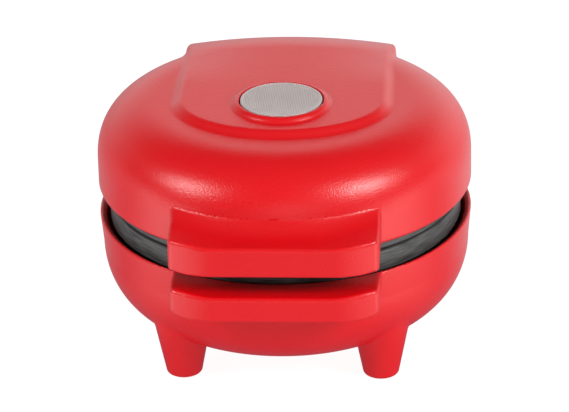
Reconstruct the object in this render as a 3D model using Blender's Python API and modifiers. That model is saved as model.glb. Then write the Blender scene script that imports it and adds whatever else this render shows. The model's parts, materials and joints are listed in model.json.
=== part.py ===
"""Mini waffle maker: two round plastic shells on a rear hinge, each with a waffle plate and its heater.

Metres, Z up. The origin is on the floor, midway between the handles' front and the cord gland's rear face.
The front is -Y and the lid is modelled closed.
"""
import math

import bmesh
import bpy
from mathutils import Matrix, Vector

# Clearances, overruns and mesh steps that every piece shares
SEAT_GAP = 0.0003
OVERRUN = 0.0010
MERGE = 0.00001
ROUND_STEPS = 48
SMALL_STEPS = 10
BULGE_STEPS = 8
FLAT_ANGLE = math.radians(0.2)

# Both shells
BODY_RADIUS = 0.0630
WALL = 0.0022
GROUND_CLEARANCE = 0.0100
SHELL_GAP = 0.0100
BASE_DEPTH = 0.0363
BASE_CURVE_DEPTH = 0.0262
BASE_SHOULDER_WIDTH = 0.0270
BASE_TAPER = 0.0009
BASE_BULGE_SHARE = 2.15
LID_DEPTH = 0.0293
LID_CURVE_DEPTH = 0.0196
LID_SHOULDER_WIDTH = 0.0200
LID_BULGE_SHARE = 2.4
LID_EDGE_ROUND = 0.0020
LID_LIP_WALL = 0.0030
LID_LIP_HEIGHT = 0.0040
BASE_RIM_HEIGHT = GROUND_CLEARANCE + BASE_DEPTH
BASE_FLAT_RADIUS = BODY_RADIUS - BASE_SHOULDER_WIDTH
LID_FLAT_RADIUS = BODY_RADIUS - LID_SHOULDER_WIDTH
LID_EDGE = BASE_RIM_HEIGHT + SHELL_GAP
DOME_TOP = LID_EDGE + LID_DEPTH
BASE_FLOOR = GROUND_CLEARANCE + WALL

# Raised place on the lid, which runs back and down to the hinge
PLATEAU_RISE = 0.0020
PLATEAU_HALF_WIDTH = 0.0345
PLATEAU_DRAFT = 0.0014
PLATEAU_EDGE_ROUND = 0.0006
PLATEAU_NOSE_DEPTH = 0.0255
PLATEAU_NOSE_CENTRE_Y = -0.0072
PLATEAU_REAR_INSET = 0.0260
PLATEAU_REAR_Y = BODY_RADIUS - PLATEAU_REAR_INSET
PLATEAU_TOP = DOME_TOP + PLATEAU_RISE
NOSE_STEPS = 18
REAR_STEPS = 10

# Hinge at the rear: the lid's knuckle turns between the base's two ears
HINGE_SETBACK = 0.0056
KNUCKLE_RADIUS = 0.0066
KNUCKLE_HALF_LENGTH = 0.0200
EAR_SIDE_GAP = 0.0004
SWING_CLEARANCE = 0.0007
COVER_WALL = 0.0019
HINGE_BLOCK_HALF_WIDTH = 0.0330
HINGE_BLOCK_OVERHANG = 0.0048
HINGE_BLOCK_BACK_HEIGHT = 0.0170
EAR_STEPS = 14
PIN_RADIUS = 0.0020
CAP_RADIUS = 0.0032
CAP_THICKNESS = 0.0016
HINGE_Y = BODY_RADIUS + HINGE_SETBACK
HINGE_Z = BASE_RIM_HEIGHT + SHELL_GAP / 2
SWING_RADIUS = KNUCKLE_RADIUS + SWING_CLEARANCE
COVER_END_ANGLE = math.radians(60)
EAR_NECK_ANGLE = math.radians(-60)
HINGE_BLOCK_TOP = HINGE_Z - SWING_RADIUS
HINGE_BLOCK_REAR = HINGE_Y + HINGE_BLOCK_OVERHANG

# Handles, one on each shell
HANDLE_OVERHANG = 0.0126
HANDLE_HALF_WIDTH = 0.0340
HANDLE_SWEEP = 0.0044
HANDLE_SWEEP_SHARE = 3.5
HANDLE_CORNER = 0.0025
HANDLE_LIP_ROUND = 0.0010
HANDLE_EDGE_ROUND = 0.0008
HANDLE_ROOT_INSET = 0.0180
SCOOP_ROOT_INSET = 0.0005
UPPER_HANDLE_DROP = 0.0009
UPPER_LIP_RISE = 0.0093
UPPER_SCOOP_RISE = 0.0135
LOWER_HANDLE_DROP = 0.0070
LOWER_LIP_RISE = 0.0015
POCKET_RIB = 0.0024
POCKET_ROOF = 0.0026
POCKET_BACK_GAP = 0.0014
POCKET_FRONT_WALL = 0.0050
POCKET_SIDE_WALL = 0.0032
HANDLE_REACH = BODY_RADIUS + HANDLE_OVERHANG
HANDLE_ROOT_Y = BODY_RADIUS - HANDLE_ROOT_INSET
CORNER_STEPS = 4
FACE_STEPS = 4
SCOOP_STEPS = 6

# Feet and the screws inside them
FOOT_INSET = 0.0142
FOOT_SIDE_SHARE = 0.678
FOOT_TIP_RADIUS = 0.0058
FOOT_ROOT_RADIUS = 0.0104
FOOT_LIFT = 0.0004
FOOT_ROOT_HEIGHT = 0.0235
PAD_RADIUS = 0.0042
PAD_DEPTH = 0.0022
WELL_RADIUS = 0.0037
BOSS_RADIUS = 0.0060
BOSS_HEAD_WALL = 0.0060
SCREW_RADIUS = 0.0019
SCREW_HEAD_RADIUS = 0.0034
SCREW_HEAD_HEIGHT = 0.0024
PILOT_EXTRA = 0.0003
FOOT_CIRCLE = BODY_RADIUS - FOOT_INSET
FOOT_X = FOOT_CIRCLE * FOOT_SIDE_SHARE
FOOT_Y = math.sqrt(FOOT_CIRCLE ** 2 - FOOT_X ** 2)
FOOT_SPOTS = [(sx * FOOT_X, sy * FOOT_Y) for sx in (-1, 1) for sy in (-1, 1)]

# Waffle plates, in their own frame: the face at zero and the back below it
PLATE_CLEARANCE = 0.0006
PLATE_STAND = 0.0055
PLATE_GAP = 0.0008
PLATE_RIM_THICKNESS = 0.0030
PLATE_SKIRT_DEPTH = 0.0073
PLATE_SKIRT_WALL = 0.0020
PLATE_LAND = 0.0088
CAVITY_SLOPE = 0.0016
RIDGE_SINK = 0.0019
POCKET_DEPTH = 0.0026
WEB_THICKNESS = 0.0033
RIDGE_PITCH = 0.0142
RIDGE_WIDTH = 0.0026
POCKET_DRAFT = 0.0008
POCKET_EDGE = 0.0010
POCKETS_ACROSS = 7
POST_RADIUS = 0.0045
PLATE_RADIUS = BODY_RADIUS - LID_LIP_WALL - PLATE_CLEARANCE
CAVITY_RADIUS = PLATE_RADIUS - PLATE_LAND
PLATE_BACK = RIDGE_SINK + POCKET_DEPTH + WEB_THICKNESS
BASE_FACE = BASE_RIM_HEIGHT + PLATE_STAND
LID_FACE = BASE_FACE + PLATE_GAP

# Heating elements and reflectors, in the plates' frame
HEATER_INSET = 0.0126
HEATER_TUBE = 0.0030
HEATER_END_X = 0.0092
HEATER_END_DEPTH = 0.0220
HEATER_BEND_RADIUS = 0.0050
HEATER_STEPS = 24
BEND_STEPS = 3
REFLECTOR_INSET = 0.0036
REFLECTOR_SHEET = 0.0008
REFLECTOR_RIM = 0.0030
REFLECTOR_SPACE = 0.0006
HEATER_HOLE_GAP = 0.0009
BASE_REFLECTOR_HOLE = 0.0215
LID_REFLECTOR_HOLE = 0.0040
HEATER_RADIUS = CAVITY_RADIUS - HEATER_INSET
REFLECTOR_RADIUS = PLATE_RADIUS - REFLECTOR_INSET
HEATER_LEVEL = PLATE_BACK + SEAT_GAP + HEATER_TUBE
REFLECTOR_LEVEL = HEATER_LEVEL + HEATER_TUBE + REFLECTOR_SPACE
REFLECTOR_BACK = REFLECTOR_LEVEL + REFLECTOR_SHEET
HEATER_END_Y = math.sqrt(HEATER_RADIUS ** 2 - HEATER_END_X ** 2)

# Lamp on the raised place and the two long screws under it
LAMP_Y = -0.0109
LENS_RADIUS = 0.0137
LENS_GAP = 0.0004
LENS_THICKNESS = 0.0029
LENS_PANE = 0.0019
LENS_CROWN = 0.0003
LENS_EDGE_ROUND = 0.0005
LENS_LEDGE = 0.0016
LENS_PROUD = 0.0002
COLLAR_RISE = 0.0017
COLLAR_WIDTH = 0.0030
COLLAR_TOP_SHARE = 0.42
WELL_WALL = 0.0016
LAMP_WELL_DEPTH = 0.0107
LID_SCREW_X = 0.0086
LID_BOSS_RADIUS = 0.0038
HOLDER_RADIUS = 0.0046
HOLDER_FOOT = 0.0012
HOLDER_HEIGHT = 0.0055
HOLDER_WALL = 0.0012
LAMP_RADIUS = 0.0025
LAMP_LENGTH = 0.0054
COLLAR_TOP = PLATEAU_TOP + COLLAR_RISE
LENS_TOP = COLLAR_TOP + LENS_PROUD
LENS_WELL_RADIUS = LENS_RADIUS + LENS_GAP
LAMP_WELL_RADIUS = LENS_WELL_RADIUS - LENS_LEDGE
LEDGE_HEIGHT = LENS_TOP - LENS_THICKNESS - SEAT_GAP
LAMP_FLOOR = COLLAR_TOP - LAMP_WELL_DEPTH

# Thermostat and thermal fuse behind the base plate, in the plates' frame
THERMOSTAT_RADIUS = 0.0080
THERMOSTAT_CAP = 0.0040
THERMOSTAT_BODY_RADIUS = 0.0065
THERMOSTAT_HEIGHT = 0.0107
BRACKET_HALF_LENGTH = 0.0150
BRACKET_HALF_WIDTH = 0.0095
BRACKET_SHEET = 0.0008
SMALL_POST_RADIUS = 0.0028
SMALL_SCREW_RADIUS = 0.0012
SMALL_HEAD_RADIUS = 0.0025
SMALL_HEAD_HEIGHT = 0.0018
SMALL_SCREW_GRIP = 0.0036
BRACKET_SCREW_X = 0.0118
FUSE_GAP = 0.0013
FUSE_RADIUS = 0.0015
FUSE_LENGTH = 0.0100
FUSE_WIRE_RADIUS = 0.0005
FUSE_WIRE_LENGTH = 0.0026
SLEEVE_RADIUS = 0.0026
SLEEVE_BORE = 0.0019
SLEEVE_LENGTH = 0.0140
CLIP_SCREW_X = 0.0115
CLIP_REACH = 0.0080
CLIP_HALF_WIDTH = 0.0030
CLIP_SHEET = 0.0006
BRACKET_LEVEL = PLATE_BACK + SEAT_GAP + THERMOSTAT_CAP + SEAT_GAP
CLIP_LEVEL = PLATE_BACK + SEAT_GAP + 2 * SLEEVE_RADIUS + SEAT_GAP
FUSE_Y = -BRACKET_HALF_WIDTH - FUSE_GAP - SLEEVE_RADIUS

# Mains entry at the rear of the base
GLAND_NECK_RADIUS = 0.0047
GLAND_FLANGE_RADIUS = 0.0061
GLAND_BORE = 0.0035
GLAND_FLANGE = 0.0019
GLAND_HEIGHT = HINGE_BLOCK_TOP - WALL - GLAND_FLANGE_RADIUS - 2 * SEAT_GAP
CLAMP_SETBACK = 0.0129
CLAMP_SCREW_X = 0.0080
CLAMP_BOSS_RADIUS = 0.0032
CLAMP_BOSS_DROP = 0.0110
CLAMP_BOSS_HEIGHT = 0.0112
CLAMP_HALF_LENGTH = 0.0120
CLAMP_HALF_WIDTH = 0.0035
CLAMP_THICKNESS = 0.0028
CLAMP_SCREW_GRIP = 0.0056
CLAMP_Y = HINGE_BLOCK_REAR - CLAMP_SETBACK
CLAMP_BOSS_TOP = HINGE_BLOCK_TOP - CLAMP_BOSS_DROP
TERMINAL_Y = 0.0280
TERMINAL_HALF_LENGTH = 0.0100
TERMINAL_HALF_WIDTH = 0.0055
TERMINAL_HEIGHT = 0.0090
TERMINAL_HOLE = 0.0016
TERMINAL_HOLE_X = 0.0050
TERMINAL_HOLE_RISE = 0.0045


def collection(name):
    """A new collection in the scene."""
    made = bpy.data.collections.new(name)
    bpy.context.scene.collection.children.link(made)
    return made


def add(name, mesh):
    """A new object among the parts."""
    obj = bpy.data.objects.new(name, mesh)
    PARTS.objects.link(obj)
    return obj


def from_bmesh(name, shape):
    """An object from a finished bmesh."""
    mesh = bpy.data.meshes.new(name)
    shape.normal_update()
    shape.to_mesh(mesh)
    shape.free()
    return add(name, mesh)


def box(name, low, high):
    """A box between two corners."""
    shape = bmesh.new()
    bmesh.ops.create_cube(shape, size=1)
    size = [b - a for a, b in zip(low, high)]
    middle = [(a + b) / 2 for a, b in zip(low, high)]
    placed = Matrix.Translation(middle) @ Matrix.Diagonal((*size, 1))
    bmesh.ops.transform(shape, matrix=placed, verts=shape.verts)
    return from_bmesh(name, shape)


def rod(name, radius, start, end, tip_radius=None, steps=SMALL_STEPS):
    """A round bar, or a cone if the tip has a radius of its own, from one point to another."""
    start, end = Vector(start), Vector(end)
    run = end - start
    shape = bmesh.new()
    bmesh.ops.create_cone(shape, cap_ends=True, segments=steps, radius1=radius,
                          radius2=radius if tip_radius is None else tip_radius, depth=run.length)
    turn = run.to_track_quat("Z", "X").to_matrix().to_4x4()
    bmesh.ops.transform(shape, matrix=Matrix.Translation((start + end) / 2) @ turn, verts=shape.verts)
    obj = from_bmesh(name, shape)
    obj.data.shade_smooth()
    return obj


def post(name, radius, spot, bottom, top, steps=SMALL_STEPS):
    """An upright round bar at a spot on the plan."""
    return rod(name, radius, (*spot, bottom), (*spot, top), steps=steps)


def turned(name, profile, steps=ROUND_STEPS, closed=False):
    """A profile of (radius, height) points turned round the upright axis, its outer side first, downwards.

    An open profile starts and ends on the axis. A closed one makes a ring.
    """
    shape = bmesh.new()
    verts = [shape.verts.new((radius, 0, height)) for radius, height in profile]
    ends = verts[1:] + verts[:1] if closed else verts[1:]
    for first, second in zip(verts, ends):
        shape.edges.new((first, second))
    obj = from_bmesh(name, shape)
    screw = obj.modifiers.new("Turn", "SCREW")
    screw.axis = "Z"
    screw.angle = math.tau
    screw.steps = steps
    screw.render_steps = steps
    screw.use_merge_vertices = True
    screw.merge_threshold = MERGE
    screw.use_smooth_shade = True
    return obj


def loft(name, rings):
    """A closed skin over rings of as many points each, with flat ends."""
    shape = bmesh.new()
    rows = [[shape.verts.new(point) for point in ring] for ring in rings]
    for lower, upper in zip(rows, rows[1:]):
        for i in range(len(lower)):
            j = (i + 1) % len(lower)
            shape.faces.new((lower[i], lower[j], upper[j], upper[i]))
    shape.faces.new(list(reversed(rows[0])))
    shape.faces.new(rows[-1])
    bmesh.ops.recalc_face_normals(shape, faces=shape.faces)
    return from_bmesh(name, shape)


def slab(name, outline, half_width):
    """A side outline of (y, z) points drawn out both ways along X."""
    return loft(name, [[(x, y, z) for y, z in outline] for x in (-half_width, half_width)])


def tube(name, points, radius, resolution=2):
    """A round wire or tube through its points, as a mesh with closed ends."""
    curve = bpy.data.curves.new(name, "CURVE")
    curve.dimensions = "3D"
    curve.bevel_depth = radius
    curve.bevel_resolution = resolution
    curve.use_fill_caps = True
    spline = curve.splines.new("POLY")
    spline.points.add(len(points) - 1)
    for target, point in zip(spline.points, points):
        target.co = (*point, 1)
    guide = bpy.data.objects.new(name, curve)
    PARTS.objects.link(guide)
    evaluated = guide.evaluated_get(bpy.context.evaluated_depsgraph_get())
    mesh = bpy.data.meshes.new_from_object(evaluated)
    shape = bmesh.new()
    shape.from_mesh(mesh)
    bmesh.ops.remove_doubles(shape, verts=shape.verts, dist=MERGE)
    bmesh.ops.recalc_face_normals(shape, faces=shape.faces)
    bpy.data.objects.remove(guide)
    bpy.data.meshes.remove(mesh)
    return from_bmesh(name, shape)


def combine(part, tool, operation):
    """Join a tool to a part, cut it away, or keep what both hold. The tool follows the part as a cutter."""
    modifier = part.modifiers.new(tool.name, "BOOLEAN")
    modifier.operation = operation
    modifier.solver = "EXACT"
    modifier.object = tool
    PARTS.objects.unlink(tool)
    CUTTERS.objects.link(tool)
    tool.parent = part
    tool.hide_render = True
    tool.display_type = "WIRE"
    return part


def join(part, *tools):
    """Add each tool's shape to a part."""
    for tool in tools:
        combine(part, tool, "UNION")
    return part


def cut(part, *tools):
    """Take each tool's shape out of a part."""
    for tool in tools:
        combine(part, tool, "DIFFERENCE")
    return part


def material(name, colour, roughness, metallic=0.0):
    """A plain finish for the parts."""
    made = bpy.data.materials.new(name)
    made.use_nodes = True
    shader = made.node_tree.nodes["Principled BSDF"]
    shader.inputs["Base Color"].default_value = (*colour, 1)
    shader.inputs["Roughness"].default_value = roughness
    shader.inputs["Metallic"].default_value = metallic
    return made


def merge_flat_faces(*objects):
    """Let each piece's flat faces be single faces again after its Booleans."""
    for obj in objects:
        dissolve = obj.modifiers.new("Merge flat faces", "DECIMATE")
        dissolve.decimate_type = "DISSOLVE"
        dissolve.angle_limit = FLAT_ANGLE


def paint(finish, *objects):
    """Give each piece one finish."""
    for obj in objects:
        obj.data.materials.clear()
        obj.data.materials.append(finish)


def bulge(flat, side, start, depth, share):
    """A quarter of a rounded square from the flat's edge out to the side, as (radius, height)."""
    points = []
    for step in range(BULGE_STEPS + 1):
        angle = math.pi / 2 * (1 - step / BULGE_STEPS)
        radius = flat + (side - flat) * max(math.cos(angle), 0) ** (2 / share)
        points.append((radius, start + depth * math.sin(angle) ** (2 / share)))
    return points


def dome_solid(name, inset, edge_round, lip_inset, bottom):
    """The lid's round body, filled, drawn in all over by an inset."""
    side = BODY_RADIUS - inset
    profile = [(0, DOME_TOP - inset)]
    curve_bottom = DOME_TOP - LID_CURVE_DEPTH
    profile += bulge(LID_FLAT_RADIUS, side, curve_bottom, LID_CURVE_DEPTH - inset, LID_BULGE_SHARE)
    if lip_inset:
        lip_top = LID_EDGE + LID_LIP_HEIGHT
        profile += [(side, lip_top), (side - lip_inset, lip_top - lip_inset)]
    for step in range(CORNER_STEPS + 1):
        angle = math.pi / 2 * step / CORNER_STEPS
        round_in = edge_round * (1 - math.cos(angle))
        profile.append((side - lip_inset - round_in, bottom + edge_round * (1 - math.sin(angle))))
        if not edge_round:
            break
    profile.append((0, bottom))
    return turned(name, profile)


def bowl_solid(name, inset, top):
    """The base's round body, filled, drawn in all over by an inset."""
    side = BODY_RADIUS - inset
    low_side = side - BASE_TAPER
    curve_top = GROUND_CLEARANCE + BASE_CURVE_DEPTH
    arc = bulge(BASE_FLAT_RADIUS, low_side, -curve_top, BASE_CURVE_DEPTH - inset, BASE_BULGE_SHARE)
    profile = [(0, top), (side, top)]
    profile += [(radius, -height) for radius, height in reversed(arc)]
    profile.append((0, GROUND_CLEARANCE + inset))
    return turned(name, profile)


def plateau_outline(grow):
    """The raised place seen from above: a round nose in front and straight sides to the rear."""
    half = PLATEAU_HALF_WIDTH + grow
    nose = PLATEAU_NOSE_DEPTH + grow
    rear = HINGE_Y + SWING_RADIUS + COVER_WALL + OVERRUN
    points = [(-half, rear)]
    for step in range(NOSE_STEPS + 1):
        angle = math.pi * step / NOSE_STEPS
        points.append((-half * math.cos(angle), PLATEAU_NOSE_CENTRE_Y - nose * math.sin(angle)))
    return points + [(half, rear)]


def cover_outline(inset, bottom):
    """The raised place and the hinge cover seen from the side, as (y, z)."""
    reach = SWING_RADIUS + COVER_WALL
    end_y = HINGE_Y + reach * math.cos(COVER_END_ANGLE)
    end_z = HINGE_Z + reach * math.sin(COVER_END_ANGLE)
    width, height = end_y - PLATEAU_REAR_Y - inset, PLATEAU_TOP - end_z - inset
    first = math.asin(max(bottom - end_z, 0) / height)
    points = [(-BODY_RADIUS, PLATEAU_TOP - inset)]
    for step in range(REAR_STEPS + 1):
        angle = math.pi / 2 + (first - math.pi / 2) * step / REAR_STEPS
        points.append((PLATEAU_REAR_Y + width * math.cos(angle), end_z + height * math.sin(angle)))
    if bottom < end_z:
        points.append((HINGE_Y, bottom))
    return points + [(-BODY_RADIUS, bottom)]


def plateau_solid(name, inset, bottom):
    """The raised place and hinge cover, filled, drawn in all over by an inset."""
    top = PLATEAU_TOP - inset
    levels = [(bottom - OVERRUN, PLATEAU_DRAFT), (DOME_TOP - PLATEAU_EDGE_ROUND - inset, PLATEAU_DRAFT),
              (top - PLATEAU_EDGE_ROUND, 0), (top + OVERRUN, -PLATEAU_EDGE_ROUND - OVERRUN)]
    rings = [[(x, y, z) for x, y in plateau_outline(grow - inset)] for z, grow in levels]
    body = loft(name, rings)
    side = slab(name + "_side", cover_outline(inset, bottom), BODY_RADIUS)
    return combine(body, side, "INTERSECT")


def handle_front(x):
    """How far forward a handle's face reaches at a place across it."""
    return HANDLE_REACH - HANDLE_SWEEP * (abs(x) / HANDLE_HALF_WIDTH) ** HANDLE_SWEEP_SHARE


def handle_section(x, tuck, bottom, lip, scoop_edge, fall):
    """One slice of a handle seen from the side, drawn in by a tuck at the ends."""
    front = handle_front(x) - tuck
    edge = HANDLE_EDGE_ROUND + tuck
    root = BODY_RADIUS - SCOOP_ROOT_INSET
    points = [(x, -HANDLE_ROOT_Y, bottom), (x, -front + edge, bottom), (x, -front, bottom + edge)]
    for step in range(CORNER_STEPS + 1):
        angle = math.pi / 2 * step / CORNER_STEPS
        points.append((x, -front + HANDLE_LIP_ROUND * (1 - math.cos(angle)),
                       lip - tuck - HANDLE_LIP_ROUND * (1 - math.sin(angle))))
    lip_radius = math.hypot(x, front - HANDLE_LIP_ROUND)
    for step in range(1, SCOOP_STEPS + 1):
        along = 1 - step / SCOOP_STEPS
        radius = root + (lip_radius - root) * along
        height = lip - tuck * along + (scoop_edge - lip) * fall(along)
        points.append((x, -math.sqrt(radius ** 2 - x ** 2), height))
    points.append((x, -HANDLE_ROOT_Y, scoop_edge))
    return points


def handle_solid(name, bottom, lip, scoop_edge, fall):
    """A handle with a scooped top, from inside the shell to its front face."""
    slices = []
    for step in range(CORNER_STEPS + 1):
        angle = math.pi / 2 * step / CORNER_STEPS
        slices.append((HANDLE_HALF_WIDTH - HANDLE_CORNER * (1 - math.sin(angle)),
                       HANDLE_CORNER * (1 - math.cos(angle))))
    inner = HANDLE_HALF_WIDTH - HANDLE_CORNER
    across = [(inner * step / FACE_STEPS, 0) for step in range(-FACE_STEPS + 1, FACE_STEPS)]
    ordered = [(-x, tuck) for x, tuck in reversed(slices)] + across + slices
    return loft(name, [handle_section(x, tuck, bottom, lip, scoop_edge, fall) for x, tuck in ordered])


def handle_pockets(name, bottom, lip):
    """The two hollows under a handle, either side of its rib."""
    front = HANDLE_REACH - HANDLE_SWEEP - POCKET_FRONT_WALL + WALL
    side = HANDLE_HALF_WIDTH - POCKET_SIDE_WALL
    return [box(f"{name}_{end}", (min(end * POCKET_RIB / 2, end * side), -front, bottom - OVERRUN),
                (max(end * POCKET_RIB / 2, end * side), -BODY_RADIUS - POCKET_BACK_GAP, lip - POCKET_ROOF))
            for end in (-1, 1)]


def knuckle(name, radius, half_length, start=None):
    """A bar on the hinge axis, across the middle or from a start out to an end."""
    first = -half_length if start is None else start
    return rod(name, radius, (first, HINGE_Y, HINGE_Z), (half_length, HINGE_Y, HINGE_Z),
               steps=2 * SMALL_STEPS)


def make_lid_shell():
    """Dome, raised place with the lamp's collar and well, upper handle, hinge cover and knuckle."""
    shell = dome_solid("lid_shell", 0, LID_EDGE_ROUND, 0, LID_EDGE)
    lip = LID_EDGE + UPPER_LIP_RISE
    bottom = LID_EDGE - UPPER_HANDLE_DROP
    join(shell, plateau_solid("plateau_outside", 0, LID_EDGE))
    scoop_edge = LID_EDGE + UPPER_SCOOP_RISE
    join(shell, handle_solid("upper_handle", bottom, lip, scoop_edge, lambda along: (1 - along) ** 4))
    join(shell, knuckle("lid_knuckle", KNUCKLE_RADIUS, KNUCKLE_HALF_LENGTH))
    cut(shell, dome_solid("lid_hollow", WALL, 0, LID_LIP_WALL - WALL, LID_EDGE - OVERRUN))
    cut(shell, plateau_solid("plateau_hollow", WALL, HINGE_Z + SWING_RADIUS + WALL))
    wall_radius = LENS_WELL_RADIUS + WELL_WALL
    cut(shell, post("lamp_opening", wall_radius - WELL_WALL / 2, (0, LAMP_Y), DOME_TOP - 2 * WALL,
                    PLATEAU_TOP + OVERRUN, ROUND_STEPS // 2 + 1))
    cup = turned("lamp_cup", [(LENS_WELL_RADIUS + COLLAR_WIDTH * COLLAR_TOP_SHARE, COLLAR_TOP),
                              (LENS_WELL_RADIUS + COLLAR_WIDTH, PLATEAU_TOP - PLATEAU_EDGE_ROUND),
                              (LENS_WELL_RADIUS + COLLAR_WIDTH, PLATEAU_TOP - WALL / 2),
                              (wall_radius, PLATEAU_TOP - 2 * WALL), (wall_radius, LAMP_FLOOR - WALL),
                              (LAMP_RADIUS, LAMP_FLOOR - WALL), (LAMP_RADIUS, LAMP_FLOOR),
                              (LAMP_WELL_RADIUS, LAMP_FLOOR), (LAMP_WELL_RADIUS, LEDGE_HEIGHT),
                              (LENS_WELL_RADIUS, LEDGE_HEIGHT), (LENS_WELL_RADIUS, COLLAR_TOP)],
                 steps=ROUND_STEPS // 2, closed=True)
    cup.location.y = LAMP_Y
    join(shell, cup)
    boss_bottom = LID_FACE + REFLECTOR_BACK + SEAT_GAP
    for side in (-1, 1):
        spot = (side * LID_SCREW_X, LAMP_Y)
        join(shell, post(f"lid_boss_{side}", LID_BOSS_RADIUS, spot, boss_bottom, LAMP_FLOOR - WALL / 2))
        cut(shell, post(f"lid_boss_hole_{side}", SCREW_RADIUS + PILOT_EXTRA, spot, boss_bottom - OVERRUN,
                        LAMP_FLOOR + OVERRUN))
        inner, outer = KNUCKLE_HALF_LENGTH, PLATEAU_HALF_WIDTH + PLATEAU_DRAFT + OVERRUN
        cut(shell, rod(f"ear_room_{side}", SWING_RADIUS, (side * inner, HINGE_Y, HINGE_Z),
                       (side * outer, HINGE_Y, HINGE_Z), steps=2 * SMALL_STEPS))
    cut(shell, knuckle("lid_pin_hole", PIN_RADIUS + SEAT_GAP, KNUCKLE_HALF_LENGTH + OVERRUN))
    cut(shell, *handle_pockets("upper_pocket", bottom, lip))
    return shell


def hinge_block_outline(inset):
    """The base's hinge block seen from the side, as (y, z)."""
    rear, top = HINGE_BLOCK_REAR - inset, HINGE_BLOCK_TOP - inset
    back_bottom = HINGE_BLOCK_TOP - HINGE_BLOCK_BACK_HEIGHT
    under = GROUND_CLEARANCE + BASE_CURVE_DEPTH / 4 + inset
    root = HANDLE_ROOT_Y
    return [(root, top), (rear, top), (rear, back_bottom + inset / 2),
            ((2 * rear + root) / 3, (back_bottom + inset + under) / 2), (root, under)]


def ear_outline():
    """A hinge ear seen from the side, as (y, z): its neck on the block and its round end on the axis."""
    low = HINGE_BLOCK_TOP - WALL / 2
    points = [(HINGE_Y - KNUCKLE_RADIUS, low), (HINGE_BLOCK_REAR, low), (HINGE_BLOCK_REAR, HINGE_BLOCK_TOP)]
    for step in range(EAR_STEPS + 1):
        angle = EAR_NECK_ANGLE + (math.pi - EAR_NECK_ANGLE) * step / EAR_STEPS
        points.append((HINGE_Y + KNUCKLE_RADIUS * math.cos(angle),
                       HINGE_Z + KNUCKLE_RADIUS * math.sin(angle)))
    return points


def make_base_shell():
    """Bowl, lower handle, four feet with screw bosses, hinge block with two ears."""
    shell = bowl_solid("base_shell", 0, BASE_RIM_HEIGHT)
    lip = BASE_RIM_HEIGHT + LOWER_LIP_RISE
    bottom = BASE_RIM_HEIGHT - LOWER_HANDLE_DROP
    join(shell, handle_solid("lower_handle", bottom, lip, BASE_RIM_HEIGHT, lambda along: 1 - along ** 2))
    for number, (x, y) in enumerate(FOOT_SPOTS):
        join(shell, rod(f"foot_{number}", FOOT_TIP_RADIUS, (x, y, FOOT_LIFT), (x, y, FOOT_ROOT_HEIGHT),
                        FOOT_ROOT_RADIUS, steps=2 * SMALL_STEPS))
    join(shell, slab("hinge_block", hinge_block_outline(0), HINGE_BLOCK_HALF_WIDTH))
    hollow = bowl_solid("base_hollow", WALL, BASE_RIM_HEIGHT + LOWER_LIP_RISE + OVERRUN)
    # Turned by half a step, so that its upright edges miss the edges in the flat rim.
    hollow.rotation_euler.z = math.pi / ROUND_STEPS
    cut(shell, hollow)
    cut(shell, slab("hinge_hollow", hinge_block_outline(WALL), HINGE_BLOCK_HALF_WIDTH - WALL))
    boss_top = BASE_FACE - REFLECTOR_BACK - SEAT_GAP
    head_seat = boss_top - BOSS_HEAD_WALL
    pad_top = PAD_DEPTH + SEAT_GAP
    hole = SCREW_RADIUS + PILOT_EXTRA
    for number, (x, y) in enumerate(FOOT_SPOTS):
        cut(shell, post(f"foot_opening_{number}", PAD_RADIUS + SEAT_GAP, (x, y), -OVERRUN,
                        FOOT_ROOT_HEIGHT + OVERRUN))
        boss = turned(f"foot_boss_{number}", [(BOSS_RADIUS, boss_top), (BOSS_RADIUS, pad_top),
                                              (WELL_RADIUS, pad_top), (WELL_RADIUS, head_seat),
                                              (hole, head_seat), (hole, boss_top)],
                      steps=SMALL_STEPS, closed=True)
        boss.location = (x, y, 0)
        join(shell, boss)
    for side in (-1, 1):
        inner, outer = side * (KNUCKLE_HALF_LENGTH + EAR_SIDE_GAP), side * HINGE_BLOCK_HALF_WIDTH
        join(shell, loft(f"ear_{side}", [[(x, y, z) for y, z in ear_outline()] for x in (inner, outer)]))
        seat = outer - side * CAP_THICKNESS
        cut(shell, rod(f"cap_seat_{side}", CAP_RADIUS + SEAT_GAP, (seat, HINGE_Y, HINGE_Z),
                       (outer + side * OVERRUN, HINGE_Y, HINGE_Z)))
        spot = (side * CLAMP_SCREW_X, CLAMP_Y)
        join(shell, post(f"clamp_boss_{side}", CLAMP_BOSS_RADIUS, spot, CLAMP_BOSS_TOP - CLAMP_BOSS_HEIGHT,
                         CLAMP_BOSS_TOP))
        cut(shell, post(f"clamp_hole_{side}", SMALL_SCREW_RADIUS + PILOT_EXTRA, spot,
                        CLAMP_BOSS_TOP - CLAMP_SCREW_GRIP - OVERRUN, CLAMP_BOSS_TOP + OVERRUN))
    cut(shell, knuckle("base_pin_hole", PIN_RADIUS + SEAT_GAP, HINGE_BLOCK_HALF_WIDTH + OVERRUN))
    cut(shell, rod("gland_hole", GLAND_NECK_RADIUS + SEAT_GAP,
                   (0, HINGE_BLOCK_REAR - WALL - OVERRUN, GLAND_HEIGHT),
                   (0, HINGE_BLOCK_REAR + OVERRUN, GLAND_HEIGHT)))
    cut(shell, *handle_pockets("lower_pocket", bottom, lip))
    return shell


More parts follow.
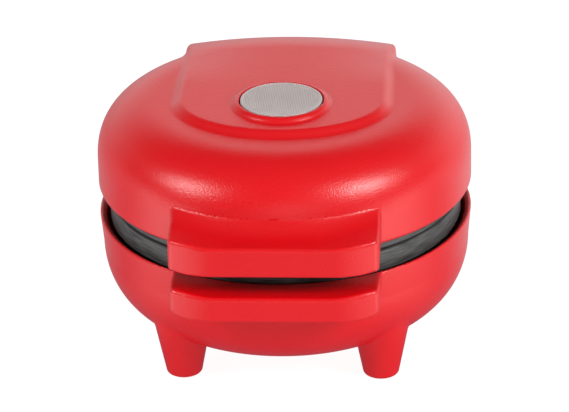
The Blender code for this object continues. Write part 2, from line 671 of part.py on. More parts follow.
def waffle_pockets(name):
    """The tapered squares between a plate's ridges. Their outer corners stop at the round edge."""
    shape = bmesh.new()
    top = RIDGE_PITCH - RIDGE_WIDTH
    floor = top - 2 * POCKET_DRAFT
    reach = CAVITY_RADIUS - POCKET_EDGE
    middle = (POCKETS_ACROSS - 1) / 2
    places = [(step - middle) * RIDGE_PITCH for step in range(POCKETS_ACROSS)]
    for middle_x, middle_y in ((x, y) for x in places for y in places if math.hypot(x, y) < reach):
        for vert in bmesh.ops.create_cube(shape, size=1)["verts"]:
            above = vert.co.z > 0
            size = top if above else floor
            x, y = middle_x + vert.co.x * size, middle_y + vert.co.y * size
            pull = min(1, reach / math.hypot(x, y))
            vert.co = (x * pull, y * pull, OVERRUN - RIDGE_SINK if above else -RIDGE_SINK - POCKET_DEPTH)
    return from_bmesh(name, shape)


def waffle_plate(name, spots, small_spots):
    """A cast plate with a waffle grid, its face at zero and its posts behind."""
    inner_back = CAVITY_RADIUS + CAVITY_SLOPE
    skirt = PLATE_RADIUS - PLATE_SKIRT_WALL
    profile = [(0, -RIDGE_SINK), (CAVITY_RADIUS, -RIDGE_SINK), (inner_back, 0), (PLATE_RADIUS, 0),
               (PLATE_RADIUS, -PLATE_SKIRT_DEPTH), (skirt, -PLATE_SKIRT_DEPTH),
               (skirt, -PLATE_RIM_THICKNESS),
               (inner_back + PLATE_SKIRT_WALL, -PLATE_RIM_THICKNESS), (inner_back, -PLATE_BACK),
               (0, -PLATE_BACK)]
    plate = turned(name, profile)
    cut(plate, waffle_pockets(name + "_pockets"))
    post_end = -REFLECTOR_LEVEL + SEAT_GAP
    pilot_top = -PLATE_BACK + WEB_THICKNESS / 3
    for number, spot in enumerate(spots):
        join(plate, post(f"{name}_post_{number}", POST_RADIUS, spot, post_end, -PLATE_BACK + OVERRUN))
        cut(plate, post(f"{name}_pilot_{number}", SCREW_RADIUS + PILOT_EXTRA, spot, post_end - OVERRUN,
                        pilot_top))
    for number, (spot, end) in enumerate(small_spots):
        join(plate, post(f"{name}_stud_{number}", SMALL_POST_RADIUS, spot, end, -PLATE_BACK + OVERRUN))
        cut(plate, post(f"{name}_stud_hole_{number}", SMALL_SCREW_RADIUS + PILOT_EXTRA, spot, end - OVERRUN,
                        pilot_top))
    return plate


def heater(name):
    """A tubular element: most of a ring behind the plate, with both ends turned back at the rear."""
    half_gap = math.asin(HEATER_END_X / HEATER_RADIUS)
    bend_angle = HEATER_BEND_RADIUS / HEATER_RADIUS
    first = math.pi / 2 + half_gap + bend_angle
    last = math.pi * 5 / 2 - half_gap - bend_angle
    ring = []
    for step in range(HEATER_STEPS + 1):
        angle = first + (last - first) * step / HEATER_STEPS
        ring.append((HEATER_RADIUS * math.cos(angle), HEATER_RADIUS * math.sin(angle), -HEATER_LEVEL))

    def leg(side):
        points = [(side * HEATER_END_X, HEATER_END_Y, -HEATER_END_DEPTH)]
        for step in range(BEND_STEPS):
            angle = math.pi / 2 * step / BEND_STEPS
            turn = half_gap + bend_angle * (1 - math.cos(angle))
            points.append((side * HEATER_RADIUS * math.sin(turn), HEATER_RADIUS * math.cos(turn),
                           -HEATER_LEVEL - HEATER_BEND_RADIUS * (1 - math.sin(angle))))
        return points

    return tube(name, leg(-1) + ring + list(reversed(leg(1))), HEATER_TUBE)


def reflector(name, hole, holes):
    """A thin dished sheet behind the element, with holes for what passes through."""
    rim = REFLECTOR_RADIUS - REFLECTOR_SHEET
    sheet = turned(name, [(REFLECTOR_RADIUS, REFLECTOR_RIM - REFLECTOR_LEVEL),
                          (REFLECTOR_RADIUS, -REFLECTOR_BACK), (hole, -REFLECTOR_BACK),
                          (hole, -REFLECTOR_LEVEL), (rim, -REFLECTOR_LEVEL),
                          (rim, REFLECTOR_RIM - REFLECTOR_LEVEL)], closed=True)
    passages = [((side * HEATER_END_X, HEATER_END_Y), HEATER_TUBE + HEATER_HOLE_GAP) for side in (-1, 1)]
    for number, (spot, radius) in enumerate(passages + holes):
        cut(sheet, post(f"{name}_hole_{number}", radius, spot, -REFLECTOR_BACK - OVERRUN,
                        OVERRUN - REFLECTOR_LEVEL))
    return sheet


def screw(name, spot, head_seat, tip, head_radius=SCREW_HEAD_RADIUS, head_height=SCREW_HEAD_HEIGHT,
          radius=SCREW_RADIUS):
    """A pan-head screw. Its head lies just past its seat and its shank runs up or down to its tip."""
    away = 1 if head_seat > tip else -1
    seat = head_seat + away * SEAT_GAP
    crown = head_radius - head_height / 3
    profile = [(0, seat + away * head_height), (crown, seat + away * head_height),
               (head_radius, seat + away * head_height / 2), (head_radius, seat), (radius, seat),
               (radius, tip + away * radius), (0, tip)]
    made = turned(name, profile if away > 0 else list(reversed(profile)), steps=SMALL_STEPS)
    made.location = (*spot, 0)
    return made


def small_screw(name, spot, head_seat, tip):
    return screw(name, spot, head_seat, tip, SMALL_HEAD_RADIUS, SMALL_HEAD_HEIGHT, SMALL_SCREW_RADIUS)


def place_plate_parts(objects, face, upside_down):
    """Set pieces drawn in a plate's frame at their height, turned over in the lid."""
    for obj in objects:
        obj.location.z = face
        if upside_down:
            obj.rotation_euler.y = math.pi
            obj.location.x = -obj.location.x


def make_heating(prefix, face, upside_down, spots, small_spots, hole, holes):
    """One plate with its element and reflector."""
    plate = waffle_plate(prefix + "_plate", spots, small_spots)
    element = heater(prefix + "_heater")
    sheet = reflector(prefix + "_reflector", hole, holes)
    place_plate_parts([plate, element, sheet], face, upside_down)
    return plate, element, sheet


def make_lamp():
    """Lens, lamp holder and lamp, on the lamp's own upright axis."""
    rim = LENS_RADIUS - LENS_EDGE_ROUND
    bore = LENS_RADIUS - LENS_LEDGE
    low = LENS_TOP - LENS_THICKNESS
    pane = LENS_TOP - LENS_PANE
    lens = turned("lamp_lens", [(0, LENS_TOP), (rim / 2, LENS_TOP - LENS_CROWN / 3),
                                (rim, LENS_TOP - LENS_CROWN),
                                (LENS_RADIUS, LENS_TOP - LENS_CROWN - LENS_EDGE_ROUND), (LENS_RADIUS, low),
                                (bore, low), (bore - (pane - low) / 2, pane), (0, pane)],
                  steps=ROUND_STEPS // 2 + ROUND_STEPS // 4)
    foot = LAMP_FLOOR + SEAT_GAP
    bore = LAMP_RADIUS + SEAT_GAP
    side = bore + HOLDER_WALL
    holder = turned("lamp_holder", [(side, foot + HOLDER_HEIGHT), (side, foot + HOLDER_FOOT),
                                    (HOLDER_RADIUS, foot + HOLDER_FOOT), (HOLDER_RADIUS, foot),
                                    (bore, foot), (bore, foot + HOLDER_HEIGHT)],
                    steps=SMALL_STEPS, closed=True)
    top = foot + HOLDER_FOOT + LAMP_LENGTH
    lamp = turned("indicator_lamp", [(0, top), (LAMP_RADIUS * math.sqrt(1 / 2), top - LAMP_RADIUS / 3),
                                     (LAMP_RADIUS, top - LAMP_RADIUS), (LAMP_RADIUS, foot + SEAT_GAP),
                                     (0, foot + SEAT_GAP)], steps=SMALL_STEPS)
    for obj in (lens, holder, lamp):
        obj.location.y = LAMP_Y
    return lens, holder, lamp


def make_thermostat():
    """Disc thermostat under the base plate's middle, its bracket and two screws, in world heights."""
    top = BASE_FACE - PLATE_BACK - SEAT_GAP
    shoulder, bottom = top - THERMOSTAT_CAP, top - THERMOSTAT_HEIGHT
    body = turned("thermostat", [(0, top), (THERMOSTAT_RADIUS, top), (THERMOSTAT_RADIUS, shoulder),
                                 (THERMOSTAT_BODY_RADIUS, shoulder), (THERMOSTAT_BODY_RADIUS, bottom),
                                 (0, bottom)], steps=2 * SMALL_STEPS)
    sheet_top = BASE_FACE - BRACKET_LEVEL
    sheet_bottom = sheet_top - BRACKET_SHEET
    bracket = box("thermostat_bracket", (-BRACKET_HALF_LENGTH, -BRACKET_HALF_WIDTH, sheet_bottom),
                  (BRACKET_HALF_LENGTH, BRACKET_HALF_WIDTH, sheet_top))
    cut(bracket, post("bracket_hole", THERMOSTAT_BODY_RADIUS + SEAT_GAP, (0, 0), sheet_bottom - OVERRUN,
                      sheet_top + OVERRUN, 2 * SMALL_STEPS))
    screws = []
    for number, side in enumerate((-1, 1), 1):
        spot = (side * BRACKET_SCREW_X, 0)
        cut(bracket, post(f"bracket_screw_hole_{number}", SMALL_SCREW_RADIUS + PILOT_EXTRA, spot,
                          sheet_bottom - OVERRUN, sheet_top + OVERRUN))
        screws.append(small_screw(f"thermostat_screw_{number}", spot, sheet_bottom,
                                  sheet_top + SMALL_SCREW_GRIP))
    return body, bracket, *screws


def make_fuse():
    """Thermal fuse in its sleeve in front of the thermostat, the clip under it and the clip's screw."""
    level = BASE_FACE - PLATE_BACK - SEAT_GAP - SLEEVE_RADIUS
    half = SLEEVE_LENGTH / 2
    sleeve = turned("fuse_sleeve", [(SLEEVE_RADIUS, half), (SLEEVE_RADIUS, -half), (SLEEVE_BORE, -half),
                                    (SLEEVE_BORE, half)], steps=SMALL_STEPS, closed=True)
    barrel, wire = FUSE_LENGTH / 2, FUSE_LENGTH / 2 + FUSE_WIRE_LENGTH
    shoulder = barrel - FUSE_WIRE_RADIUS
    fuse = turned("thermal_fuse", [(0, wire), (FUSE_WIRE_RADIUS, wire), (FUSE_WIRE_RADIUS, barrel),
                                   (FUSE_RADIUS, shoulder), (FUSE_RADIUS, -shoulder),
                                   (FUSE_WIRE_RADIUS, -barrel), (FUSE_WIRE_RADIUS, -wire), (0, -wire)],
                  steps=SMALL_STEPS)
    for obj in (sleeve, fuse):
        obj.rotation_euler.y = math.pi / 2
        obj.location = (0, FUSE_Y, level)
    sheet_top = BASE_FACE - CLIP_LEVEL
    clip = box("fuse_clip",
               (CLIP_SCREW_X - CLIP_REACH, FUSE_Y - CLIP_HALF_WIDTH, sheet_top - CLIP_SHEET),
               (CLIP_SCREW_X + CLIP_HALF_WIDTH, FUSE_Y + CLIP_HALF_WIDTH, sheet_top))
    spot = (CLIP_SCREW_X, FUSE_Y)
    cut(clip, post("clip_screw_hole", SMALL_SCREW_RADIUS + PILOT_EXTRA, spot,
                   sheet_top - CLIP_SHEET - OVERRUN, sheet_top + OVERRUN))
    fixing = small_screw("fuse_clip_screw", spot, sheet_top - CLIP_SHEET, sheet_top + SMALL_SCREW_GRIP)
    return fuse, sleeve, clip, fixing


def make_mains_entry():
    """Cord gland in the rear wall, the clamp inside it with two screws, and the terminal block."""
    wall_back, wall_front = HINGE_BLOCK_REAR + SEAT_GAP, HINGE_BLOCK_REAR - WALL - SEAT_GAP
    outer, inner = wall_back + GLAND_FLANGE, wall_front - GLAND_FLANGE
    gland = turned("cord_gland", [(GLAND_FLANGE_RADIUS, outer), (GLAND_FLANGE_RADIUS, wall_back),
                                  (GLAND_NECK_RADIUS, wall_back), (GLAND_NECK_RADIUS, wall_front),
                                  (GLAND_FLANGE_RADIUS, wall_front), (GLAND_NECK_RADIUS, inner),
                                  (GLAND_BORE, inner), (GLAND_BORE, outer)],
                   steps=2 * SMALL_STEPS, closed=True)
    gland.rotation_euler.x = -math.pi / 2
    gland.location.z = GLAND_HEIGHT
    low = CLAMP_BOSS_TOP + SEAT_GAP
    clamp = box("cord_clamp", (-CLAMP_HALF_LENGTH, CLAMP_Y - CLAMP_HALF_WIDTH, low),
                (CLAMP_HALF_LENGTH, CLAMP_Y + CLAMP_HALF_WIDTH, low + CLAMP_THICKNESS))
    screws = []
    for number, side in enumerate((-1, 1), 1):
        spot = (side * CLAMP_SCREW_X, CLAMP_Y)
        cut(clamp, post(f"clamp_bar_hole_{number}", SMALL_SCREW_RADIUS + PILOT_EXTRA, spot, low - OVERRUN,
                        low + CLAMP_THICKNESS + OVERRUN))
        screws.append(small_screw(f"cord_clamp_screw_{number}", spot, low + CLAMP_THICKNESS,
                                  CLAMP_BOSS_TOP - CLAMP_SCREW_GRIP))
    floor = BASE_FLOOR + SEAT_GAP
    block = box("terminal_block", (-TERMINAL_HALF_LENGTH, TERMINAL_Y - TERMINAL_HALF_WIDTH, floor),
                (TERMINAL_HALF_LENGTH, TERMINAL_Y + TERMINAL_HALF_WIDTH, floor + TERMINAL_HEIGHT))
    for side in (-1, 1):
        x, z = side * TERMINAL_HOLE_X, floor + TERMINAL_HOLE_RISE
        reach = TERMINAL_HALF_WIDTH + OVERRUN
        cut(block, rod(f"terminal_hole_{side}", TERMINAL_HOLE, (x, TERMINAL_Y - reach, z),
                       (x, TERMINAL_Y + reach, z)))
    return gland, clamp, *screws, block


def make_hinge_pin():
    """The pin through both ears and the knuckle, and a cap over each end."""
    seat = HINGE_BLOCK_HALF_WIDTH - CAP_THICKNESS
    end = seat - SEAT_GAP
    pin = rod("hinge_pin", PIN_RADIUS, (-end, HINGE_Y, HINGE_Z), (end, HINGE_Y, HINGE_Z))
    caps = [rod(f"hinge_cap_{word}", CAP_RADIUS, (side * (seat + SEAT_GAP), HINGE_Y, HINGE_Z),
                (side * HINGE_BLOCK_HALF_WIDTH, HINGE_Y, HINGE_Z))
            for word, side in (("left", -1), ("right", 1))]
    return pin, *caps


def build():
    """Make every piece, then hang the lid's pieces on the hinge axis."""
    lid_post = [(side * LID_SCREW_X, LAMP_Y) for side in (-1, 1)]
    screw_hole = SCREW_RADIUS + PILOT_EXTRA
    bracket_studs = [((side * BRACKET_SCREW_X, 0), -BRACKET_LEVEL + SEAT_GAP) for side in (-1, 1)]
    clip_stud = [((CLIP_SCREW_X, FUSE_Y), -CLIP_LEVEL + SEAT_GAP)]
    lid_shell = make_lid_shell()
    base_shell = make_base_shell()
    base_heating = make_heating("base", BASE_FACE, False, FOOT_SPOTS, bracket_studs + clip_stud,
                                BASE_REFLECTOR_HOLE, [(spot, screw_hole) for spot in FOOT_SPOTS])
    lid_heating = make_heating("lid", LID_FACE, True, lid_post, [], LID_REFLECTOR_HOLE,
                               [(spot, screw_hole) for spot in lid_post])
    lens, holder, lamp = make_lamp()
    lid_tip = LID_FACE + PLATE_BACK + SEAT_GAP
    lid_screws = [screw(f"lid_screw_{number}", spot, LAMP_FLOOR, lid_tip)
                  for number, spot in enumerate(lid_post, 1)]
    head_seat = BASE_FACE - REFLECTOR_BACK - SEAT_GAP - BOSS_HEAD_WALL
    base_tip = BASE_FACE - PLATE_BACK - SEAT_GAP
    base_screws = [screw(f"base_screw_{number}", spot, head_seat, base_tip)
                   for number, spot in enumerate(FOOT_SPOTS, 1)]
    pads = [post(f"foot_pad_{number}", PAD_RADIUS, spot, 0, PAD_DEPTH)
            for number, spot in enumerate(FOOT_SPOTS, 1)]
    thermostat, bracket, *bracket_screws = make_thermostat()
    fuse, sleeve, clip, clip_screw = make_fuse()
    gland, clamp, clamp_screw_1, clamp_screw_2, block = make_mains_entry()
    pin, *caps = make_hinge_pin()

    for plate, element, sheet in (base_heating, lid_heating):
        merge_flat_faces(plate, sheet)
    merge_flat_faces(lid_shell, base_shell)

    red = material("red_plastic", (0.78, 0.014, 0.024), 0.42)
    coating = material("plate_coating", (0.050, 0.054, 0.056), 0.45, 0.3)
    steel = material("steel", (0.55, 0.56, 0.58), 0.32, 1.0)
    element = material("element_sheath", (0.24, 0.23, 0.22), 0.5, 1.0)
    clear = material("lens_plastic", (0.62, 0.58, 0.57), 0.25)
    rubber = material("black_rubber", (0.02, 0.02, 0.02), 0.8)
    ceramic = material("ceramic", (0.80, 0.78, 0.72), 0.5)
    bakelite = material("brown_resin", (0.12, 0.05, 0.03), 0.5)
    neon = material("neon_glass", (0.75, 0.28, 0.12), 0.15)
    fibre = material("glass_fibre", (0.82, 0.80, 0.74), 0.8)
    paint(red, lid_shell, base_shell, *caps)
    paint(coating, base_heating[0], lid_heating[0])
    paint(element, base_heating[1], lid_heating[1])
    paint(steel, base_heating[2], lid_heating[2], pin, bracket, clip, fuse)
    paint(steel, *lid_screws, *base_screws, *bracket_screws, clip_screw, clamp_screw_1, clamp_screw_2)
    paint(clear, lens)
    paint(rubber, gland, *pads)
    paint(ceramic, holder, block)
    paint(bakelite, thermostat, clamp)
    paint(neon, lamp)
    paint(fibre, sleeve)

    hinge = bpy.data.objects.new("lid_hinge_axis", None)
    hinge.location = (0, HINGE_Y, HINGE_Z)
    PARTS.objects.link(hinge)
    for obj in (lid_shell, *lid_heating, lens, holder, lamp, *lid_screws):
        obj.parent = hinge
        obj.matrix_parent_inverse = Matrix.Translation(-hinge.location)


for old in list(bpy.data.objects):
    bpy.data.objects.remove(old)
PARTS = collection("mini_waffle_maker")
CUTTERS = collection("cutters")
build()
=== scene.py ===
import json
import math

import bpy
import numpy as np
from bpy.props import FloatProperty, FloatVectorProperty, PointerProperty
from mathutils import Matrix, Vector


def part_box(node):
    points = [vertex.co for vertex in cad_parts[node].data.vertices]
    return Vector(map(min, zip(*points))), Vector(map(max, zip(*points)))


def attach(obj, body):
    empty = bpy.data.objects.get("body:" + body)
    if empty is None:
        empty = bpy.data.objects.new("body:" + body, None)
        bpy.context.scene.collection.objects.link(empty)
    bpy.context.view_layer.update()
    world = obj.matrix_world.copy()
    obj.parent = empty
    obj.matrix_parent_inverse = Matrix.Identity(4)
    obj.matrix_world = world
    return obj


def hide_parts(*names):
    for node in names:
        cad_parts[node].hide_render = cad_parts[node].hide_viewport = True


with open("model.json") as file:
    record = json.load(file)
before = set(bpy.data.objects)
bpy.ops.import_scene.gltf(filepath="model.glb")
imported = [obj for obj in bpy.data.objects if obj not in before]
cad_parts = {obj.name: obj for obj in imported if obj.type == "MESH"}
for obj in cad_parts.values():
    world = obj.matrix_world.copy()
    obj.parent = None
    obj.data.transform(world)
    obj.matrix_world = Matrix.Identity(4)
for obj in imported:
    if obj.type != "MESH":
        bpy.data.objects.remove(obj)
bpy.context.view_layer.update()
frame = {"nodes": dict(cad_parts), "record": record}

bl_info = {
    "name": "Mini waffle maker",
    "version": (1, 0, 0),
    "blender": (4, 5, 0),
    "location": "3D View > Sidebar > Waffle Maker",
    "description": "Dresses the packed waffle maker with shells, plates, small parts and a stage",
    "category": "Add Mesh",
}

# Lengths are in metres. -Y is towards the handles and +Z is up.
FINISH_PREFIX = "made_"
TINY = 1e-9

# Grids for the meshes. A run is a pair of levels, from and to.
PROBE = 1.2e-4
LEAST_SLOPE = 0.05
FACES_KEPT = 0.6
SHELL_STEP = 0.0008
PLATE_STEP = 0.0009
FINE_SHARE = 0.7
SHELL_SIDE = 0.0648
SHELL_FRONT = -0.0775
HANDLE_REAR = -0.0600
HANDLE_END_RUN = (0.030, 0.037)
LID_REAR = 0.0755
LID_RUN = (0.0436, 0.0905)
LID_FINE_RUN = (0.0835, 0.0905)
BASE_REAR = 0.0760
BASE_RUN = (-0.0010, 0.0595)
PAD_FINE_RUN = (-0.001, 0.003)
LIP_FINE_RUN = (0.036, 0.050)
PLATE_SIDE = 0.0606
PLATE_RUN = (-0.0155, 0.0010)
CORNER_SHARE = 0.45

# Radii of edges and fillets, from the crispest to the softest.
HOLE_EDGE = 0.0001
BORE_EDGE = 0.0002
CUT_EDGE = 0.0003
FILLET = 0.0004
SOFT_FILLET = 0.0005
CAST_EDGE = 0.0006
WIDE_FILLET = 0.0008
SOFT_EDGE = 0.0010
BLOCK_EDGE = 0.0012

# Hinge. A lean is a slope, and its span is about the length of that slope's normal.
HINGE_Y = 0.0686
HINGE_Z = 0.0513
KNUCKLE_HALF_LENGTH = 0.0200
KNUCKLE_RADIUS = 0.0066
SWING_RADIUS = 0.0073
PIN_HOLE = 0.0023
EAR_GAP = 0.0004
NECK_LEAN = 0.94
NECK_SPAN = 1.37
CAP_SEAT = 0.0035
CAP_SEAT_DEPTH = 0.0016

# Lid
LID_EDGE = 0.0563
DOME_TOP = 0.0856
DOME_POWER = 2.3
LID_HOLLOW_START = 0.0040
LID_MOUTH_WALL = 0.0030
LID_MOUTH_DEPTH = 0.0045
COVER_END_Y = 0.0732
COVER_END_Z = 0.0593
COVER_REAR_Y = 0.0370
COVER_POWER = 2
COVER_TUCK_SHARES = (0.546, 0.838)
CROWN_RUN_IN = (0.006, 0.050)
CROWN_RUN_OUT = (0.058, 0.073)
CROWN_LIMIT = 1.2
DRAFT_LEAN = 0.5

# Lamp and the two screws beside it
LAMP_Y = -0.0109
LENS_WELL = 0.0141
LENS_LEDGE = 0.0863
LAMP_FLOOR = 0.0786
LAMP_WELL = 0.0125
CUP_WALL = 0.0157
CUP_BOTTOM = 0.0764
CUP_SINK = 0.0010
COLLAR_SINK = 0.0006
COLLAR_SLOPE_SHARE = 0.58
LEAD_HOLE = 0.0025
LEAD_HOLE_RUN = (0.070, 0.080)
LENS_MIDDLE_DIP = 0.00030
LENS_DISH_DIP = 0.00034
LENS_CREST_DIP = 0.00004
LENS_CREST_SHARE = 0.9
LENS_ROUND = 0.00045
LENS_PANE = 0.0019
LENS_WALL = 0.0016
LENS_WALL_ROOT = 0.0022
FACET_DIP = 0.00036
FACET_TOP_SHARE = 0.16
FACET_FOOT_SHARE = 0.56
SCREW_HOLE = 0.0022
LID_SCREW_X = 0.0086
LID_POST = 0.0038
LID_POST_RUN = (0.0684, 0.0775)
LID_HOLE_RUN = (0.060, 0.080)

# Handles
HANDLE_ROOT_Y = 0.0450
SWEEP_POWER = 1.6
UPPER_SCOOP_POWER = 4
LOWER_SCOOP_POWER = 2
UPPER_CORNER = 0.0012
LOWER_CORNER = 0.0028
LIP_LEAD = 0.003
CHEEK_RUN = (-0.006, -0.001)
HALF_RIB = 0.0012
POCKET_FRONT = 0.0028
POCKET_SIDE = 0.0032
POCKET_REAR = 0.0014
POCKET_ROOF = 0.0026
POCKET_OPENING = 0.002

# Base
RIM_HEIGHT = 0.0463
BOWL_CURVE_TOP = 0.0362
BOWL_POWER = 2.15
BOWL_OPENING = 0.060
BLOCK_REAR = 0.0734
BLOCK_TOP = 0.0440
BLOCK_LOW = 0.0270
BLOCK_UNDERSIDE = 0.01655
BLOCK_HALF_WIDTH = 0.0330
GLAND_HEIGHT = 0.0351
GLAND_HOLE = 0.0050
GLAND_HOLE_START = 0.0600
CLAMP_SPOT = (0.0080, 0.0605)
CLAMP_POST = 0.0032
CLAMP_POST_RUN = (0.0218, 0.0330)
CLAMP_HOLE = 0.0015
CLAMP_HOLE_RUN = (0.0270, 0.0340)

# Feet
FOOT_CIRCLE = 0.0488
FOOT_X_SHARE = 0.678
FOOT_X = FOOT_CIRCLE * FOOT_X_SHARE
FOOT_Y = math.sqrt(FOOT_CIRCLE ** 2 - FOOT_X ** 2)
FOOT_BOTTOM = 0.0004
FOOT_ROOT_HEIGHT = 0.0235
FOOT_CORE_TOP = 0.0160
BOSS = 0.0060
BOSS_TOP = 0.0360
PAD_HOLE = 0.0045
PAD_HOLE_TOP = 0.0025
SCREW_WELL = 0.0037
SCREW_WELL_TOP = 0.0300
FOOT_HOLE_TOP = 0.040

# Plates. Depths are counted from the plate's face.
BASE_FACE = 0.0518
LID_FACE = 0.0526
CAVITY_DRAFT = 0.0016
CAVITY_SPAN = 1.3
POCKET_DRAFT_SHARE = 0.3
FIELD_MARGIN = 0.0010
SKIRT_WALL = 0.0020
RIM_DEPTH = 0.0030
CORE_RADIUS = 0.0522
CORE_DEPTH = 0.0078
CORE_LEAN = 0.42
CORE_SPAN = 1.08
PLATE_POST = 0.0045
PLATE_POST_DEPTH = 0.0144
PLATE_POST_SINK = 0.0005
PLATE_HOLE_DEPTH = 0.0150
PLATE_HOLE_END = 0.0011
STREAK_START = 0.0012
STREAK_FULL = 0.0003
STREAKS_ROUND = 7.0
STREAKS_DOWN = 2000.0

# Camera, floor and lamps. A lamp has a name, a place, a width, watts, and whether satin faces mirror it.
PHOTO_WIDTH = 569
CAMERA_TURN = math.radians(3.603)
CAMERA_RISE = math.radians(25.618)
CAMERA_ROLL = math.radians(1.325)
CAMERA_DISTANCE = 1.2
CAMERA_AIM = Vector((0, 0, 0.045))
LENS_MM = 223.2
SENSOR_MM = 36
SHIFT_X = -1.22 / PHOTO_WIDTH
SHIFT_Y = -0.88 / PHOTO_WIDTH
FLOOR_REACH = 3.0
FLOOR_NEAR_RUN = (-0.32, -0.13)
FLOOR_SIDE_RUN = (0.05, 0.13)
FLOOR_AHEAD_RUN = (0.0, -0.10)
FLOOR_REAR_RUN = (-0.02, 0.08)
WALL_REAR_RUN = (0.1, 0.9)
WALL_HEIGHT_RUN = (0.60, 0.42)
LAMP_AIM = Vector((0, -0.02, 0.06))
LAMPS = (("softbox_left", (-0.70, -0.40, 0.50), 0.32, 3.3, True),
         ("softbox_right", (0.67, -0.46, 0.56), 0.32, 5.0, True),
         ("front_fill", (0.15, -1.30, 0.22), 0.60, 3.6, False))
WHITE = (1, 1, 1, 1)


def length(name, value, description, least=0.0):
    """A size that a user may change."""
    return FloatProperty(name=name, description=description, default=value, min=least, unit="LENGTH",
                         subtype="DISTANCE", precision=5)


def colour(name, value, description):
    """A colour that a user may change."""
    return FloatVectorProperty(name=name, description=description, default=value, size=3, min=0, max=1,
                               subtype="COLOR")


class WAFFLE_PG_body(bpy.types.PropertyGroup):
    radius: length("Radius", 0.0630, "Radius of both round shells")
    wall: length("Wall", 0.0022, "Thickness of the moulded walls")
    lid_shoulder: length("Lid shoulder", 0.0212, "Width of the lid's rounded shoulder")
    lid_curve: length("Lid curve", 0.0196, "Depth of the lid's rounded shoulder")
    base_shoulder: length("Base shoulder", 0.0270, "Width of the bowl's rounded underside")
    base_curve: length("Base curve", 0.0262, "Depth of the bowl's rounded underside")
    base_taper: length("Base taper", 0.0009, "How much narrower the bowl's side is at its foot")
    edge_round: length("Edge round", 0.0014, "Radius of the lid's lower edge")
    rim_flare: length("Rim flare", 0.0014, "Width of the bevel inside the bowl's rim")
    foot_tip: length("Foot tip", 0.0058, "Radius of a foot at its tip")
    foot_root: length("Foot root", 0.0104, "Radius of a foot where it meets the bowl")


class WAFFLE_PG_panel(bpy.types.PropertyGroup):
    half_width: length("Half width", 0.0345, "Half the width of the raised place on the lid")
    nose_depth: length("Nose depth", 0.0255, "How far its round front reaches")
    nose_centre: FloatProperty(name="Nose centre", description="Where the round front starts, along Y",
                               default=-0.0072, unit="LENGTH", precision=5)
    rise: length("Rise", 0.0020, "Height of the raised place over the dome")
    draft: length("Draft", 0.0017, "Run of its sloping side")
    edge_round: length("Edge round", 0.0012, "Radius of its top edge")
    foot_fillet: length("Foot fillet", 0.0013, "Radius where its side meets the dome")
    crown: length("Crown", 0.0026, "How much the hinge cover falls towards its sides")
    collar_width: length("Collar width", 0.0030, "Width of the ring round the lamp's lens")
    collar_rise: length("Collar rise", 0.0017, "Height of that ring")


class WAFFLE_PG_handles(bpy.types.PropertyGroup):
    reach: length("Reach", 0.0756, "How far the handles reach in front of the middle")
    half_width: length("Half width", 0.0340, "Half the width of a handle")
    sweep: length("Sweep", 0.0044, "How far a handle's ends lie behind its middle")
    straight: length("Straight", 0.0200, "Half the width of the straight middle of a handle's face")
    end_rise: length("End rise", 0.0012, "How much higher the lip is at a handle's ends")
    lip_round: length("Lip round", 0.0014, "Radius along a handle's lip")
    cheek_round: length("Cheek round", 0.0016, "Radius of a handle's upright ends")
    upper_lip: length("Upper lip", 0.0656, "Height of the upper handle's lip")
    upper_scoop: length("Upper scoop", 0.0698, "Height of the upper scoop's rear edge")
    lower_lip: length("Lower lip", 0.0478, "Height of the lower handle's lip")
    upper_bottom: length("Upper bottom", 0.0554, "Height of the upper handle's underside")
    lower_bottom: length("Lower bottom", 0.0393, "Height of the lower handle's underside")
    root_inset: length("Root inset", 0.0002, "How far a scoop cuts in behind the body's side")


class WAFFLE_PG_plates(bpy.types.PropertyGroup):
    radius: length("Radius", 0.0594, "Radius of a waffle plate")
    cavity: length("Cavity radius", 0.0506, "Radius of the sunken waffle field")
    pitch: length("Pitch", 0.0142, "Distance from one ridge to the next")
    ridge: length("Ridge width", 0.0026, "Width of a ridge at its top")
    sink: length("Sink", 0.0019, "Depth of the ridges' tops below the plate's face")
    pocket: length("Pocket depth", 0.0026, "Depth of the waffle pockets")
    skirt: length("Skirt", 0.0073, "Depth of the plate's outer skirt")


class WAFFLE_PG_lens(bpy.types.PropertyGroup):
    radius: length("Radius", 0.0137, "Radius of the lamp's lens")
    rim: length("Rim", 0.0011, "Width of the lens's smooth rim")
    facet_pitch: length("Facet pitch", 0.00080, "Distance between the small facets", 0.0002)
    facet_height: length("Facet height", 0.00022, "Height of a facet")


class WAFFLE_PG_colours(bpy.types.PropertyGroup):
    red: colour("Red plastic", (0.63, 0.0005, 0.004), "Moulded plastic of the shells")
    coating: colour("Plate coating", (0.064, 0.067, 0.065), "Non-stick coating of the plates")
    lens: colour("Lens", (0.44, 0.385, 0.375), "Smoky plastic of the lens")
    rubber: colour("Rubber", (0.012, 0.012, 0.012), "Foot pads and cord gland")
    steel: colour("Steel", (0.56, 0.57, 0.58), "Screws, sheets and pin")
    sheath: colour("Element sheath", (0.15, 0.14, 0.13), "Tube of the heating elements")
    ceramic: colour("Ceramic", (0.72, 0.68, 0.60), "Lamp holder and terminal block")
    resin: colour("Brown resin", (0.055, 0.022, 0.012), "Thermostat and cord clamp")
    neon: colour("Neon glass", (0.62, 0.30, 0.15), "Indicator lamp")
    fibre: colour("Glass fibre", (0.68, 0.66, 0.58), "Sleeve of the thermal fuse")
    floor: colour("Floor", (0.90, 0.90, 0.90), "Floor under the object")


# Distance fields. A place is inside a shape where its distance is below zero.

def both(a, b, radius=0.0):
    """What lies in two shapes, with their common edge rounded."""
    return (np.minimum(np.maximum(a, b), -radius)
            + np.hypot(np.maximum(a + radius, 0), np.maximum(b + radius, 0)))


def either(a, b, radius=0.0):
    """What lies in one of two shapes, with a fillet where they meet."""
    return -both(-a, -b, radius)


def without(a, b, radius=0.0):
    """A shape less another, with the cut's edge rounded."""
    return both(a, -b, radius)


